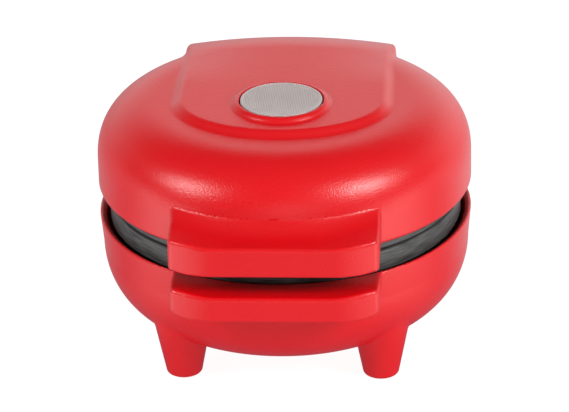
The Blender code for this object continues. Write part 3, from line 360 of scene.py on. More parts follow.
def band(value, low, high):
    """Between two levels."""
    return np.maximum(low - value, value - high)


def post(x, y, z, spot, radius, low, high, edge=0.0):
    """An upright round post."""
    return both(np.hypot(x - spot[0], y - spot[1]) - radius, band(z, low, high), edge)


def ramp(value, low, high):
    """From 0 at one level to 1 at another, starting and ending gently."""
    share = np.clip((value - low) / (high - low), 0, 1)
    return share * share * (3 - 2 * share)


def shoulder(out, up, flat, side, depth, share):
    """Distance to an upright side that turns over a rounded shoulder into a flat top."""
    across = np.maximum(out - flat, 0) / (side - flat)
    over = np.maximum(up, 0) / depth
    size = np.maximum((across ** share + over ** share) ** (1 / share), TINY)
    slope = np.hypot((across / size) ** (share - 1) / (side - flat), (over / size) ** (share - 1) / depth)
    return (size - 1) / np.maximum(slope, 1 / side)


def panel_outline(x, y, panel):
    """Distance to the raised place's outline seen from above: a round nose and straight sides."""
    ahead = y - panel.nose_centre
    half, nose = panel.half_width, panel.nose_depth
    size = np.hypot(x / half, ahead / nose)
    slope = np.hypot(x / half ** 2, ahead / nose ** 2)
    return np.where(ahead < 0, size * (size - 1) / np.maximum(slope, TINY), np.abs(x) - half)


def raised_place(x, y, z, panel, inset):
    """The raised place and the hinge cover that runs down from it at the rear."""
    top = DOME_TOP + panel.rise
    fall = panel.crown * ramp(y, *CROWN_RUN_IN) * (1 - ramp(y, *CROWN_RUN_OUT))
    level = z + fall * np.minimum(np.abs(x) / panel.half_width, CROWN_LIMIT) ** 2
    flare = panel.draft * np.clip((top - level) / panel.rise, 0, 1)
    side = (panel_outline(x, y, panel) - flare) / math.hypot(1, DRAFT_LEAN)
    over = shoulder(y, level - COVER_END_Z, COVER_REAR_Y, COVER_END_Y, top - COVER_END_Z, COVER_POWER)
    tuck_y, tuck_z = COVER_TUCK_SHARES
    under = (y - COVER_END_Y) * tuck_y - (z - COVER_END_Z) * tuck_z
    over = both(over, under, CAST_EDGE)
    edge = FILLET if inset else panel.edge_round
    return both(side + inset, over + inset, edge)


def handle(x, y, z, handles, body, levels, power, corner):
    """One handle and the space over its scoop, which falls towards the lip by a power."""
    bottom, lip, edge = levels
    half = handles.half_width
    bend = half - handles.straight
    lip = lip + handles.end_rise * ramp(np.abs(x), handles.straight - LIP_LEAD, half)
    across = np.maximum(np.abs(x) - handles.straight, 0) / bend
    face = handles.reach - handles.sweep * across ** SWEEP_POWER
    slant = handles.sweep * SWEEP_POWER * across ** (SWEEP_POWER - 1) / bend
    front = (-y - face) / np.hypot(1, slant)
    root = body.radius - handles.root_inset
    rho = np.hypot(x, y)
    run = np.hypot(x, face - handles.lip_round) - root
    left = 1 - np.clip((rho - root) / run, 0, 1)
    over = z - lip - (edge - lip) * left ** power
    over = over / np.hypot(1, (edge - lip) * power * left ** (power - 1) / run)
    beyond = np.abs(x) - half
    ends = both(beyond, bottom - z, corner)
    block = both(front, ends, SOFT_FILLET + (handles.cheek_round - SOFT_FILLET) * ramp(beyond, *CHEEK_RUN))
    block = both(block, over, handles.lip_round)
    block = np.maximum(block, y + HANDLE_ROOT_Y)
    scoop = np.maximum(np.maximum(-over, z - edge), np.maximum(root - rho, beyond))
    return block, np.maximum(scoop, y)


def under_pockets(x, y, z, handles, body, bottom, lip):
    """The two hollows under a handle, either side of its rib."""
    front = handles.reach - handles.sweep - POCKET_FRONT
    sides = band(np.abs(x), HALF_RIB, handles.half_width - POCKET_SIDE)
    depth = band(y, -front, -body.radius - POCKET_REAR)
    height = band(z, bottom - POCKET_OPENING, lip - POCKET_ROOF)
    return both(both(sides, depth, CAST_EDGE), height, SOFT_FILLET)


def lamp_seat(x, y, z, panel):
    """The lamp's collar, its cup inside the lid, and the well that takes lens and holder."""
    ring = np.hypot(x, y - LAMP_Y)
    top = DOME_TOP + panel.rise
    slope = COLLAR_SLOPE_SHARE * panel.collar_width / (panel.collar_rise + COLLAR_SINK)
    outer = LENS_WELL + panel.collar_width - slope * np.maximum(z - top + COLLAR_SINK, 0)
    height = band(z, top - COLLAR_SINK, top + panel.collar_rise)
    collar = both((ring - outer) / math.hypot(1, slope), height, WIDE_FILLET)
    cup = both(ring - CUP_WALL, band(z, CUP_BOTTOM, top - CUP_SINK), FILLET)
    well = np.minimum(np.maximum(ring - LENS_WELL, LENS_LEDGE - z),
                      np.maximum(ring - LAMP_WELL, LAMP_FLOOR - z))
    return collar, cup, well


def lid_field(body, panel, handles):
    """Dome, raised place, lamp collar and well, upper handle, hinge cover and knuckle."""
    def field(x, y, z):
        rho = np.hypot(x, y)
        sx = np.abs(x)
        dome = shoulder(rho, z - DOME_TOP + body.lid_curve, body.radius - body.lid_shoulder, body.radius,
                        body.lid_curve, DOME_POWER)
        raised = raised_place(x, y, z, panel, 0)
        brim = LID_EDGE - z
        shell = either(both(dome, brim, body.edge_round), both(raised, brim, FILLET), panel.foot_fillet)
        lip, bottom = handles.upper_lip, handles.upper_bottom
        block, scoop = handle(x, y, z, handles, body, (bottom, lip, handles.upper_scoop),
                              UPPER_SCOOP_POWER, UPPER_CORNER)
        shell = without(either(shell, block, FILLET), scoop, CUT_EDGE)
        axle = np.hypot(y - HINGE_Y, z - HINGE_Z)
        knuckle = both(axle - KNUCKLE_RADIUS, sx - KNUCKLE_HALF_LENGTH, FILLET)
        shell = either(shell, knuckle, SOFT_FILLET)
        hollow = np.maximum(dome + body.wall, LID_EDGE + LID_HOLLOW_START - z)
        mouth = np.maximum(rho - body.radius + LID_MOUTH_WALL, z - LID_EDGE - LID_MOUTH_DEPTH)
        inside = np.maximum(raised_place(x, y, z, panel, body.wall), HINGE_Z + SWING_RADIUS + body.wall - z)
        shell = without(shell, np.minimum(np.minimum(hollow, mouth), inside), CUT_EDGE)
        collar, cup, well = lamp_seat(x, y, z, panel)
        shell = np.minimum(either(shell, collar, FILLET), cup)
        shell = without(shell, well, BORE_EDGE)
        spot = (LID_SCREW_X, LAMP_Y)
        shell = either(shell, post(sx, y, z, spot, LID_POST, *LID_POST_RUN, CUT_EDGE), CUT_EDGE)
        shell = without(shell, post(sx, y, z, spot, SCREW_HOLE, *LID_HOLE_RUN), HOLE_EDGE)
        shell = without(shell, post(x, y, z, (0, LAMP_Y), LEAD_HOLE, *LEAD_HOLE_RUN), HOLE_EDGE)
        swing = np.maximum(axle - SWING_RADIUS, KNUCKLE_HALF_LENGTH - sx)
        shell = without(without(shell, swing, CUT_EDGE), axle - PIN_HOLE, BORE_EDGE)
        return without(shell, under_pockets(x, y, z, handles, body, bottom, lip), CUT_EDGE)
    return field


def block_profile(y, z, inset):
    """The base's hinge block seen from the side."""
    rear, top, root = BLOCK_REAR - inset, BLOCK_TOP - inset, HANDLE_ROOT_Y
    low, under = BLOCK_LOW + inset / 2, BLOCK_UNDERSIDE + inset
    corners = [(rear, low), ((2 * rear + root) / 3, (low + under) / 2), (root, under)]
    shape = both(y - rear, z - top, BLOCK_EDGE)
    for (y0, z0), (y1, z1) in zip(corners, corners[1:]):
        run, rise = y1 - y0, z1 - z0
        shape = both(shape, ((z1 - z) * run - (y1 - y) * rise) / -math.hypot(run, rise), BLOCK_EDGE)
    return np.maximum(shape, root - y)


def hinge_ears(sx, y, z, body):
    """The two ears that carry the hinge pin, with the necks that join them to the block."""
    axle = np.hypot(y - HINGE_Y, z - HINGE_Z)
    rear = (y - BLOCK_REAR + NECK_LEAN * (z - BLOCK_TOP)) / NECK_SPAN
    neck = np.maximum(np.maximum(HINGE_Y - KNUCKLE_RADIUS - y, z - HINGE_Z), rear)
    neck = np.maximum(neck, BLOCK_TOP - body.wall / 2 - z)
    return both(np.minimum(axle - KNUCKLE_RADIUS, neck),
                band(sx, KNUCKLE_HALF_LENGTH + EAR_GAP, BLOCK_HALF_WIDTH), SOFT_FILLET)


def base_field(body, handles):
    """Bowl, lower handle, four feet with screw bosses, hinge block with two ears."""
    def field(x, y, z):
        rho = np.hypot(x, y)
        sx, sy = np.abs(x), np.abs(y)
        drop = np.clip((RIM_HEIGHT - z) / (RIM_HEIGHT - BOWL_CURVE_TOP), 0, 1)
        side = body.radius - body.base_taper * drop
        flat = body.radius - body.base_shoulder
        bowl = shoulder(rho, BOWL_CURVE_TOP - z, flat, side, body.base_curve, BOWL_POWER)
        shell = both(bowl, z - RIM_HEIGHT, CAST_EDGE)
        lip, bottom = handles.lower_lip, handles.lower_bottom
        block = handle(x, y, z, handles, body, (bottom, lip, RIM_HEIGHT), LOWER_SCOOP_POWER, LOWER_CORNER)[0]
        shell = either(shell, block, FILLET)
        foot = np.hypot(sx - FOOT_X, sy - FOOT_Y)
        cone = foot - body.foot_tip - (body.foot_root - body.foot_tip) * z / FOOT_ROOT_HEIGHT
        shell = either(shell, both(cone, band(z, FOOT_BOTTOM, FOOT_ROOT_HEIGHT), SOFT_EDGE), CAST_EDGE)
        hinge = both(block_profile(y, z, 0), sx - BLOCK_HALF_WIDTH, SOFT_EDGE)
        shell = either(shell, hinge, WIDE_FILLET)
        inner = both(block_profile(y, z, body.wall), sx - BLOCK_HALF_WIDTH + body.wall, SOFT_EDGE)
        flare = np.clip(z - RIM_HEIGHT + body.rim_flare, 0, body.rim_flare)
        inner = np.minimum(inner, np.maximum(bowl + body.wall - flare, z - BOWL_OPENING))
        shell = without(shell, inner, FILLET)
        shell = np.minimum(shell, both(foot - BOSS, band(z, PAD_HOLE_TOP, BOSS_TOP), CUT_EDGE))
        shell = np.minimum(shell, np.maximum(cone, band(z, PAD_HOLE_TOP, FOOT_CORE_TOP)))
        pad = np.maximum(foot - PAD_HOLE, z - PAD_HOLE_TOP)
        well = np.minimum(np.maximum(foot - SCREW_WELL, z - SCREW_WELL_TOP),
                          np.maximum(foot - SCREW_HOLE, z - FOOT_HOLE_TOP))
        shell = without(shell, np.minimum(pad, well), BORE_EDGE)
        shell = either(shell, hinge_ears(sx, y, z, body), FILLET)
        axle = np.hypot(y - HINGE_Y, z - HINGE_Z)
        seat = np.maximum(axle - CAP_SEAT, BLOCK_HALF_WIDTH - CAP_SEAT_DEPTH - sx)
        shell = without(without(shell, seat, BORE_EDGE), axle - PIN_HOLE, HOLE_EDGE)
        clamp = post(sx, y, z, CLAMP_SPOT, CLAMP_POST, *CLAMP_POST_RUN, BORE_EDGE)
        shell = either(shell, clamp, BORE_EDGE)
        shell = without(shell, post(sx, y, z, CLAMP_SPOT, CLAMP_HOLE, *CLAMP_HOLE_RUN), HOLE_EDGE)
        entry = both(np.hypot(x, z - GLAND_HEIGHT) - GLAND_HOLE, GLAND_HOLE_START - y)
        shell = without(shell, entry, CUT_EDGE)
        return without(shell, under_pockets(x, y, z, handles, body, bottom, lip), CUT_EDGE)
    return field


def plate_field(plates, posts, face, way):
    """A cast waffle plate. way is 1 where its face looks up and -1 where it looks down."""
    def field(x, y, z):
        level = (z - face) * way
        rho = np.hypot(x, y)
        shape = both(rho - plates.radius, band(level, -plates.skirt, 0), CAST_EDGE)
        lean = CAVITY_DRAFT / plates.sink
        cavity = (rho - plates.cavity - lean * (level + plates.sink)) / CAVITY_SPAN
        shape = without(shape, both(cavity, -plates.sink - level, FILLET), FILLET)
        cell_x = np.round(x / plates.pitch) * plates.pitch
        cell_y = np.round(y / plates.pitch) * plates.pitch
        half = (plates.pitch - plates.ridge) / 2 + POCKET_DRAFT_SHARE * (level + plates.sink)
        square = both(np.abs(x - cell_x) - half, np.abs(y - cell_y) - half, WIDE_FILLET)
        reach = plates.cavity - FIELD_MARGIN
        square = both(square, np.maximum(rho, np.hypot(cell_x, cell_y)) - reach, CAST_EDGE)
        pocket = both(square, -plates.sink - plates.pocket - level, CAST_EDGE)
        shape = without(shape, pocket, CUT_EDGE)
        hollow = both(rho - plates.radius + SKIRT_WALL, level + RIM_DEPTH, FILLET)
        side = (rho - CORE_RADIUS - CORE_LEAN * (level + CORE_DEPTH)) / CORE_SPAN
        core = both(side, -CORE_DEPTH - level, FILLET)
        shape = without(shape, np.maximum(hollow, -core), CUT_EDGE)
        for spot in posts:
            boss = post(x, y, level, spot, PLATE_POST, -PLATE_POST_DEPTH, PLATE_POST_SINK - CORE_DEPTH,
                        CUT_EDGE)
            hole = post(x, y, level, spot, SCREW_HOLE, -PLATE_HOLE_DEPTH, PLATE_HOLE_END - CORE_DEPTH)
            shape = without(either(shape, boss, CUT_EDGE), hole, HOLE_EDGE)
        return shape
    return field


def stations(low, high, step, *fine):
    """Grid levels from low to high, closer together over the fine stretches (low, high, step)."""
    levels = [low]
    while levels[-1] < high:
        here = levels[-1]
        size = min([step] + [small for start, end, small in fine if start <= here < end])
        levels.append(here + size)
    return np.array(levels)


def slope_of(field, points):
    """The field's value and gradient at each point."""
    parts = []
    for axis in range(3):
        move = np.zeros(3)
        move[axis] = PROBE
        parts.append((field(*(points + move).T) - field(*(points - move).T)) / (2 * PROBE))
    return field(*points.T), np.stack(parts, axis=1)


def settle(field, points, reach, rounds=3):
    """Draw points onto the surface and return them with the outward directions there."""
    for _ in range(rounds):
        value, slope = slope_of(field, points)
        move = value[:, None] * slope / np.maximum((slope ** 2).sum(1), LEAST_SLOPE)[:, None]
        far = np.linalg.norm(move, axis=1, keepdims=True)
        points = points - move * np.minimum(1, reach / np.maximum(far, TINY))
    slope = slope_of(field, points)[1]
    return points, slope / np.maximum(np.linalg.norm(slope, axis=1, keepdims=True), TINY)


def net(field, grid):
    """Points and faces of the field's surface, with a point in each cell that it crosses."""
    xs, ys, zs = grid
    values = field(xs[:, None, None], ys[None, :, None], zs[None, None, :])
    shape = values.shape
    sums, counts, quads = np.zeros((values.size, 3)), np.zeros(values.size), []
    for axis in range(3):
        near = [slice(None)] * 3
        far = [slice(None)] * 3
        near[axis], far[axis] = slice(0, -1), slice(1, None)
        first, second = values[tuple(near)], values[tuple(far)]
        index = np.stack(np.nonzero((first < 0) != (second < 0)), axis=1)
        here, there = first[tuple(index.T)], second[tuple(index.T)]
        share = here / (here - there)
        crossing = np.stack([grid[k][index[:, k]] for k in range(3)], axis=1)
        crossing[:, axis] += share * (grid[axis][index[:, axis] + 1] - grid[axis][index[:, axis]])
        b, c = (axis + 1) % 3, (axis + 2) % 3
        corners = []
        for step_b, step_c in ((1, 1), (0, 1), (0, 0), (1, 0)):
            cell = index.copy()
            cell[:, b] -= step_b
            cell[:, c] -= step_c
            flat = np.ravel_multi_index(tuple(cell.T), shape)
            for k in range(3):
                sums[:, k] += np.bincount(flat, crossing[:, k], values.size)
            counts += np.bincount(flat, minlength=values.size)
            corners.append(flat)
        quad = np.stack(corners, axis=1)
        outward = here < 0
        quads.append(np.where(outward[:, None], quad, quad[:, ::-1]))
    used = np.nonzero(counts)[0]
    number = np.zeros(values.size, dtype=np.int64)
    number[used] = np.arange(len(used))
    return sums[used] / counts[used][:, None], number[np.concatenate(quads)]


def mesh_object(name, points, faces, normals=None):
    """A mesh object with smooth faces and, where given, its surface's own normals."""
    mesh = bpy.data.meshes.new(name)
    mesh.from_pydata(points.tolist(), [], faces.tolist())
    mesh.shade_smooth()
    if normals is not None:
        mesh.normals_split_custom_set_from_vertices(normals.tolist())
    made = bpy.data.objects.new(name, mesh)
    bpy.context.scene.collection.objects.link(made)
    return made


def skin(name, field, grid, keep=1.0):
    """The field's surface as a mesh, thinned to a share of its faces where it is nearly flat."""
    reach = min(float(np.diff(levels).min()) for levels in grid) / 2
    points, faces = net(field, grid)
    points, normals = settle(field, points, reach)
    if keep == 1.0:
        return mesh_object(name, points, faces, normals)
    rough = mesh_object(name + "_rough", points, faces)
    thin = rough.modifiers.new("Thin", "DECIMATE")
    thin.ratio = keep
    thin.use_collapse_triangulate = True
    mesh = bpy.data.meshes.new_from_object(rough.evaluated_get(bpy.context.evaluated_depsgraph_get()))
    points = np.zeros(len(mesh.vertices) * 3)
    mesh.vertices.foreach_get("co", points)
    corners = np.zeros(len(mesh.loops), dtype=np.int32)
    mesh.loops.foreach_get("vertex_index", corners)
    points, normals = settle(field, points.reshape(-1, 3), reach / 3, 2)
    bpy.data.objects.remove(rough)
    return mesh_object(name, points, corners.reshape(-1, 3), normals)


def turned(name, profile, steps, centre=(0, 0, 0), axis="Z"):
    """A profile of (radius, height) points, its outer side first going down, turned round an axis."""
    points, faces = [], []
    for radius, height in profile:
        for step in range(steps if radius else 1):
            angle = math.tau * step / steps
            points.append((radius * math.cos(angle), radius * math.sin(angle), height))
    start = 0
    for (radius, _), (after, _) in zip(profile, profile[1:]):
        size = steps if radius else 1
        for step in range(steps):
            turn = (step + 1) % steps
            lower = start + size
            ring = [start + step, start + turn] if radius else [start]
            ring += [lower + turn, lower + step] if after else [lower]
            if len(ring) > 2:
                faces.append(ring[::-1])
        start += size
    mesh = bpy.data.meshes.new(name)
    mesh.from_pydata(points, [], faces)
    if axis == "Y":
        mesh.transform(Matrix.Rotation(-math.pi / 2, 4, "X"))
    if axis == "X":
        mesh.transform(Matrix.Rotation(math.pi / 2, 4, "Y"))
    mesh.transform(Matrix.Translation(centre))
    mesh.shade_smooth()
    made = bpy.data.objects.new(name, mesh)
    bpy.context.scene.collection.objects.link(made)
    return made


def rounded(corners, radius, steps=5):
    """A profile whose inner corners are rounded."""
    points = [corners[0]]
    for before, here, after in zip(corners, corners[1:], corners[2:]):
        here = Vector(here)
        back, on = Vector(before) - here, Vector(after) - here
        start = here + back.normalized() * min(radius, back.length * CORNER_SHARE)
        end = here + on.normalized() * min(radius, on.length * CORNER_SHARE)
        for step in range(steps + 1):
            share = step / steps
            point = start.lerp(here, share).lerp(here.lerp(end, share), share)
            points.append(tuple(point))
    return points + [corners[-1]]


class Tree:
    """A node tree that is built one node at a time."""

    def __init__(self, tree):
        self.tree = tree

    def node(self, kind, sockets=None, settings=None, output=0):
        """Add a node with its settings first and then its sockets, and return one of its outputs."""
        made = self.tree.nodes.new(kind)
        for key, value in (settings or {}).items():
            setattr(made, key, value)
        for key, value in (sockets or {}).items():
            self.feed(made.inputs[key], value)
        return Wire(self, made.outputs[output]) if made.outputs else made

    def feed(self, socket, value):
        """Link a wire to a socket, or set its own value."""
        if isinstance(value, Wire):
            self.tree.links.new(value.socket, socket)
        else:
            socket.default_value = value

    def maths(self, operation, *values):
        """A Math node on numbers or wires."""
        return self.node("ShaderNodeMath", dict(enumerate(values)), {"operation": operation})

    def blend(self, share, first, second):
        """Two colours mixed."""
        return self.node("ShaderNodeMix", {0: share, 6: first, 7: second}, {"data_type": "RGBA"}, output=2)

    def fade(self, value, low, high):
        """0 up to one value and 1 from another, with a straight slope between them."""
        return self.node("ShaderNodeMapRange", {"Value": value, "From Min": low, "From Max": high})

    def split(self, vector):
        """The X, Y and Z of a vector."""
        apart = self.node("ShaderNodeSeparateXYZ", {0: vector})
        return [Wire(self, socket) for socket in apart.socket.node.outputs]

    def rays(self):
        """1 for what the camera sees, also through clear matter, and 1 for what a glossy face mirrors."""
        path = self.node("ShaderNodeLightPath").socket.node.outputs
        camera, through, glossy = (Wire(self, path[f"Is {kind} Ray"])
                                   for kind in ("Camera", "Transmission", "Glossy"))
        return self.maths("MAXIMUM", camera, through), glossy


class Wire:
    """A socket that adds Math nodes where it stands in a sum."""

    def __init__(self, tree, socket):
        self.tree = tree
        self.socket = socket

    def __add__(self, other):
        return self.tree.maths("ADD", self, other)

    def __sub__(self, other):
        return self.tree.maths("SUBTRACT", self, other)

    def __mul__(self, other):
        return self.tree.maths("MULTIPLY", self, other)

    def __truediv__(self, other):
        return self.tree.maths("DIVIDE", self, other)

    def __radd__(self, other):
        return self.tree.maths("ADD", other, self)

    def __rsub__(self, other):
        return self.tree.maths("SUBTRACT", other, self)

    def __rmul__(self, other):
        return self.tree.maths("MULTIPLY", other, self)


class Finish(Tree):
    """A material under construction. Patterns lie on the piece's own coordinates, in metres."""

    def __init__(self, name, metallic=0.0, **plain):
        self.material = bpy.data.materials.new(FINISH_PREFIX + name)
        self.material.use_nodes = True
        super().__init__(self.material.node_tree)
        self.shader = self.tree.nodes["Principled BSDF"]
        self.shader.inputs["Metallic"].default_value = metallic
        for key, value in plain.items():
            self.shader.inputs[key.replace("_", " ").title().replace("Ior", "IOR")].default_value = value
        self.place = self.node("ShaderNodeTexCoord", output="Object")

    def noise(self, scale, detail=2.0, vector=None, roughness=0.5):
        """Noise with this many spots to the metre, from 0 to 1."""
        return self.node("ShaderNodeTexNoise", {"Vector": vector or self.place, "Scale": scale,
                                                "Detail": detail, "Roughness": roughness})

    def set(self, **sockets):
        """Feed what varies to the shader."""
        for key, value in sockets.items():
            self.feed(self.shader.inputs[key.replace("_", " ").title()], value)

    def bump(self, height, distance, strength=1.0):
        """Raise the surface by a pattern, for light only."""
        self.set(normal=self.node("ShaderNodeBump", {"Height": height, "Distance": distance,
                                                     "Strength": strength}))
        return self.material

    def shades(self, tone, spread, pattern):
        """A colour that drifts a little lighter and darker with a pattern."""
        dark = (*[value * (1 - spread) for value in tone], 1)
        light = (*[min(1, value * (1 + spread)) for value in tone], 1)
        return self.blend(pattern, dark, light)


def red_plastic(tone):
    """Satin red plastic with a fine moulded grain."""
    made = Finish("red_plastic", specular_ior_level=0.62)
    cloud = made.noise(35, 3)
    grain = made.noise(1900, 1)
    made.set(base_color=made.shades(tone, 0.03, cloud), roughness=0.25 + 0.08 * grain + 0.04 * cloud)
    return made.bump(grain, 0.00009, 1.0)


def plate_coating(tone, radius):
    """Dark non-stick coating over cast aluminium, with fine turned streaks on the outer edge alone."""
    made = Finish("plate_coating", metallic=0.25)
    x, y, z = made.split(made.place)
    angle = made.maths("ARCTAN2", y, x)
    streaked = made.node("ShaderNodeCombineXYZ", {0: angle * STREAKS_ROUND, 1: z * STREAKS_DOWN})
    reach = made.maths("SQRT", x * x + y * y)
    edge = made.fade(reach, radius - STREAK_START, radius - STREAK_FULL)
    streaks = (made.noise(1.0, 2, streaked) - 0.5) * edge + 0.5
    mottle = made.noise(900, 2)
    flake = made.noise(5200, 1)
    tones = made.shades(tone, 0.75, made.fade(streaks, 0.3, 0.7))
    made.set(base_color=made.blend(flake * 0.25, tones, (0.16, 0.165, 0.16, 1)),
             roughness=0.34 + 0.20 * streaks + 0.08 * mottle)
    return made.bump(streaks * 0.8 + mottle * 0.2, 0.00010, 0.9)


def lens_plastic(tone, pitch):
    """Smoky moulded plastic, a little cloudy, with a diagonal hatch at the facets' pitch."""
    made = Finish("lens_plastic", specular_ior_level=0.5, coat_weight=0.2, coat_roughness=0.15)
    x, y, _ = made.split(made.place)
    turns = math.tau / (pitch * math.sqrt(2))
    hatch = made.maths("SINE", (x + y) * turns) * made.maths("SINE", (x - y) * turns) * 0.5 + 0.5
    cloud = made.noise(180, 3)
    made.set(base_color=made.shades(tone, 0.50, hatch * 0.8 + cloud * 0.2), roughness=0.26 + 0.10 * cloud)
    return made.bump(hatch, 0.00010, 0.7)


def rubber_like(name, tone, roughness, scale, depth, spread=0.12):
    """A dull mass with a pebbled face, such as rubber, resin or unglazed ceramic."""
    made = Finish(name, specular_ior_level=0.3)
    cloud = made.noise(scale / 6, 3)
    pebble = made.noise(scale, 3, roughness=0.6)
    made.set(base_color=made.shades(tone, spread, cloud), roughness=roughness + 0.12 * pebble)
    return made.bump(pebble, depth, 0.5)


def metal(name, tone, roughness, spread=0.10):
    """Sheet or drawn metal with short brush marks and a few dull spots."""
    made = Finish(name, metallic=1.0)
    stretched = made.node("ShaderNodeMapping", {"Vector": made.place, "Scale": (160, 3000, 900)})
    brushed = made.noise(1.0, 3, stretched)
    dull = made.noise(240, 3)
    made.set(base_color=made.shades(tone, spread, dull), roughness=roughness + 0.16 * brushed + 0.10 * dull)
    return made.bump(brushed, 0.00001, 0.4)


def neon_glass(tone):
    """Thin glass with a warm tint that drifts a little."""
    made = Finish("neon_glass", specular_ior_level=0.6, transmission_weight=0.5)
    made.set(base_color=made.shades(tone, 0.08, made.noise(700, 2)), roughness=0.08 + 0.06 * made.noise(300))
    return made.bump(made.noise(1500), 0.00001, 0.2)


def woven(tone):
    """A braided glass-fibre sleeve."""
    made = Finish("glass_fibre", specular_ior_level=0.4, sheen_weight=0.2)
    bands = made.node("ShaderNodeTexWave", {"Vector": made.place, "Scale": 1400.0, "Distortion": 2.0},
                      {"bands_direction": "DIAGONAL"}, output="Fac")
    made.set(base_color=made.shades(tone, 0.18, bands), roughness=0.65 + 0.15 * bands)
    return made.bump(bands, 0.00012, 0.7)


def finish_of(slot):
    """The finish for one of the record's slots. All are made at the first call."""
    tones = bpy.context.scene.waffle_colours
    if FINISH_PREFIX + slot not in bpy.data.materials:
        red_plastic(tones.red)
        plate_coating(tones.coating, bpy.context.scene.waffle_plates.radius)
        lens_plastic(tones.lens, bpy.context.scene.waffle_lens.facet_pitch)
        rubber_like("black_rubber", tones.rubber, 0.60, 1500, 0.00005)
        metal("steel", tones.steel, 0.26)
        metal("element_sheath", tones.sheath, 0.42, 0.25)
        rubber_like("ceramic", tones.ceramic, 0.55, 1100, 0.00004, 0.05)
        rubber_like("brown_resin", tones.resin, 0.40, 900, 0.00003, 0.20)
        neon_glass(tones.neon)
        woven(tones.fibre)
    return bpy.data.materials[FINISH_PREFIX + slot]


def dress(piece, finish, body, *nodes):
    """Give a piece its finish, let it ride a body and stand for CAD nodes."""
    if piece.data.materials:
        piece.data.materials[0] = finish_of(finish)
    else:
        piece.data.materials.append(finish_of(finish))
    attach(piece, body)
    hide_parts(*nodes)


def grown(name, build, values):
    """Run a Geometry Nodes tree with these named inputs and keep what it makes as a plain mesh."""
    group = bpy.data.node_groups.new(name, "GeometryNodeTree")
    tree = Tree(group)
    group.interface.new_socket("Geometry", in_out="INPUT", socket_type="NodeSocketGeometry")
    for key, (kind, _) in values.items():
        group.interface.new_socket(key, in_out="INPUT", socket_type=kind)
    group.interface.new_socket("Geometry", in_out="OUTPUT", socket_type="NodeSocketGeometry")
    entry = group.nodes.new("NodeGroupInput")
    wires = {socket.name: Wire(tree, socket) for socket in entry.outputs if socket.name}
    made = build(tree, wires)
    made = tree.node("GeometryNodeRealizeInstances", {0: made})
    made = tree.node("GeometryNodeSetMaterial", {"Geometry": made, "Material": wires["Material"]})
    group.nodes.new("NodeGroupOutput")
    tree.feed(group.nodes["Group Output"].inputs[0], made)
    holder = bpy.data.objects.new(name, bpy.data.meshes.new(name))
    bpy.context.scene.collection.objects.link(holder)
    modifier = holder.modifiers.new(name, "NODES")
    modifier.node_group = group
    identifiers = {item.name: item.identifier for item in group.interface.items_tree
                   if item.in_out == "INPUT"}
    for key, (_, value) in values.items():
        modifier[identifiers[key]] = value
    evaluated = holder.evaluated_get(bpy.context.evaluated_depsgraph_get())
    mesh = bpy.data.meshes.new_from_object(evaluated)
    holder.modifiers.remove(modifier)
    bpy.data.objects.remove(holder)
    mesh.name = name
    made = bpy.data.objects.new(name, mesh)
    bpy.context.scene.collection.objects.link(made)
    return made


def shell_levels(rear):
    """The step of a shell's grid, its fine step, and its levels across and along, finer at the handle."""
    step = SHELL_STEP
    fine = step * FINE_SHARE
    inner, outer = HANDLE_END_RUN
    across = stations(-SHELL_SIDE, SHELL_SIDE, step, (-outer, -inner, fine), (inner, outer, fine))
    along = stations(SHELL_FRONT, rear, step, (SHELL_FRONT, HANDLE_REAR, fine))
    return step, fine, across, along


class WAFFLE_OT_lid_shell(bpy.types.Operator):
    """Mould the lid with its raised place, lamp collar, handle and hinge cover"""
    bl_idname = "waffle.lid_shell"
    bl_label = "Lid shell"
    bl_options = {"REGISTER", "UNDO"}

    def execute(self, context):
        scene = context.scene
        step, fine, across, along = shell_levels(LID_REAR)
        heights = stations(*LID_RUN, step * 0.85, (*LID_FINE_RUN, fine * 0.8))
        field = lid_field(scene.waffle_body, scene.waffle_panel, scene.waffle_handles)
        piece = skin("lid_moulding", field, (across, along, heights), FACES_KEPT)
        dress(piece, "red_plastic", "lid", "lid_shell")
        return {"FINISHED"}


class WAFFLE_OT_base_shell(bpy.types.Operator):
    """Mould the bowl with its handle, feet and hinge block"""
    bl_idname = "waffle.base_shell"
    bl_label = "Base shell"
    bl_options = {"REGISTER", "UNDO"}

    def execute(self, context):
        step, fine, across, along = shell_levels(BASE_REAR)
        heights = stations(*BASE_RUN, step, (*PAD_FINE_RUN, fine * FINE_SHARE), (*LIP_FINE_RUN, fine))
        field = base_field(context.scene.waffle_body, context.scene.waffle_handles)
        piece = skin("base_moulding", field, (across, along, heights), FACES_KEPT)
        dress(piece, "red_plastic", "base", "base_shell")
        return {"FINISHED"}


class WAFFLE_OT_plates(bpy.types.Operator):
    """Cast the two waffle plates"""
    bl_idname = "waffle.plates"
    bl_label = "Waffle plates"
    bl_options = {"REGISTER", "UNDO"}

    def execute(self, context):
        over_feet = [(x, y) for x in (-FOOT_X, FOOT_X) for y in (-FOOT_Y, FOOT_Y)]
        by_lamp = [(-LID_SCREW_X, LAMP_Y), (LID_SCREW_X, LAMP_Y)]
        step = PLATE_STEP
        across = stations(-PLATE_SIDE, PLATE_SIDE, step)
        depths = stations(*PLATE_RUN, step * 0.6)
        for body, face, way, posts in (("base", BASE_FACE, 1, over_feet), ("lid", LID_FACE, -1, by_lamp)):
            heights = np.sort(face + way * depths)
            field = plate_field(context.scene.waffle_plates, posts, face, way)
            piece = skin(f"{body}_waffle_plate", field, (across, across, heights), FACES_KEPT)
            dress(piece, "plate_coating", body, f"{body}_plate")
        return {"FINISHED"}


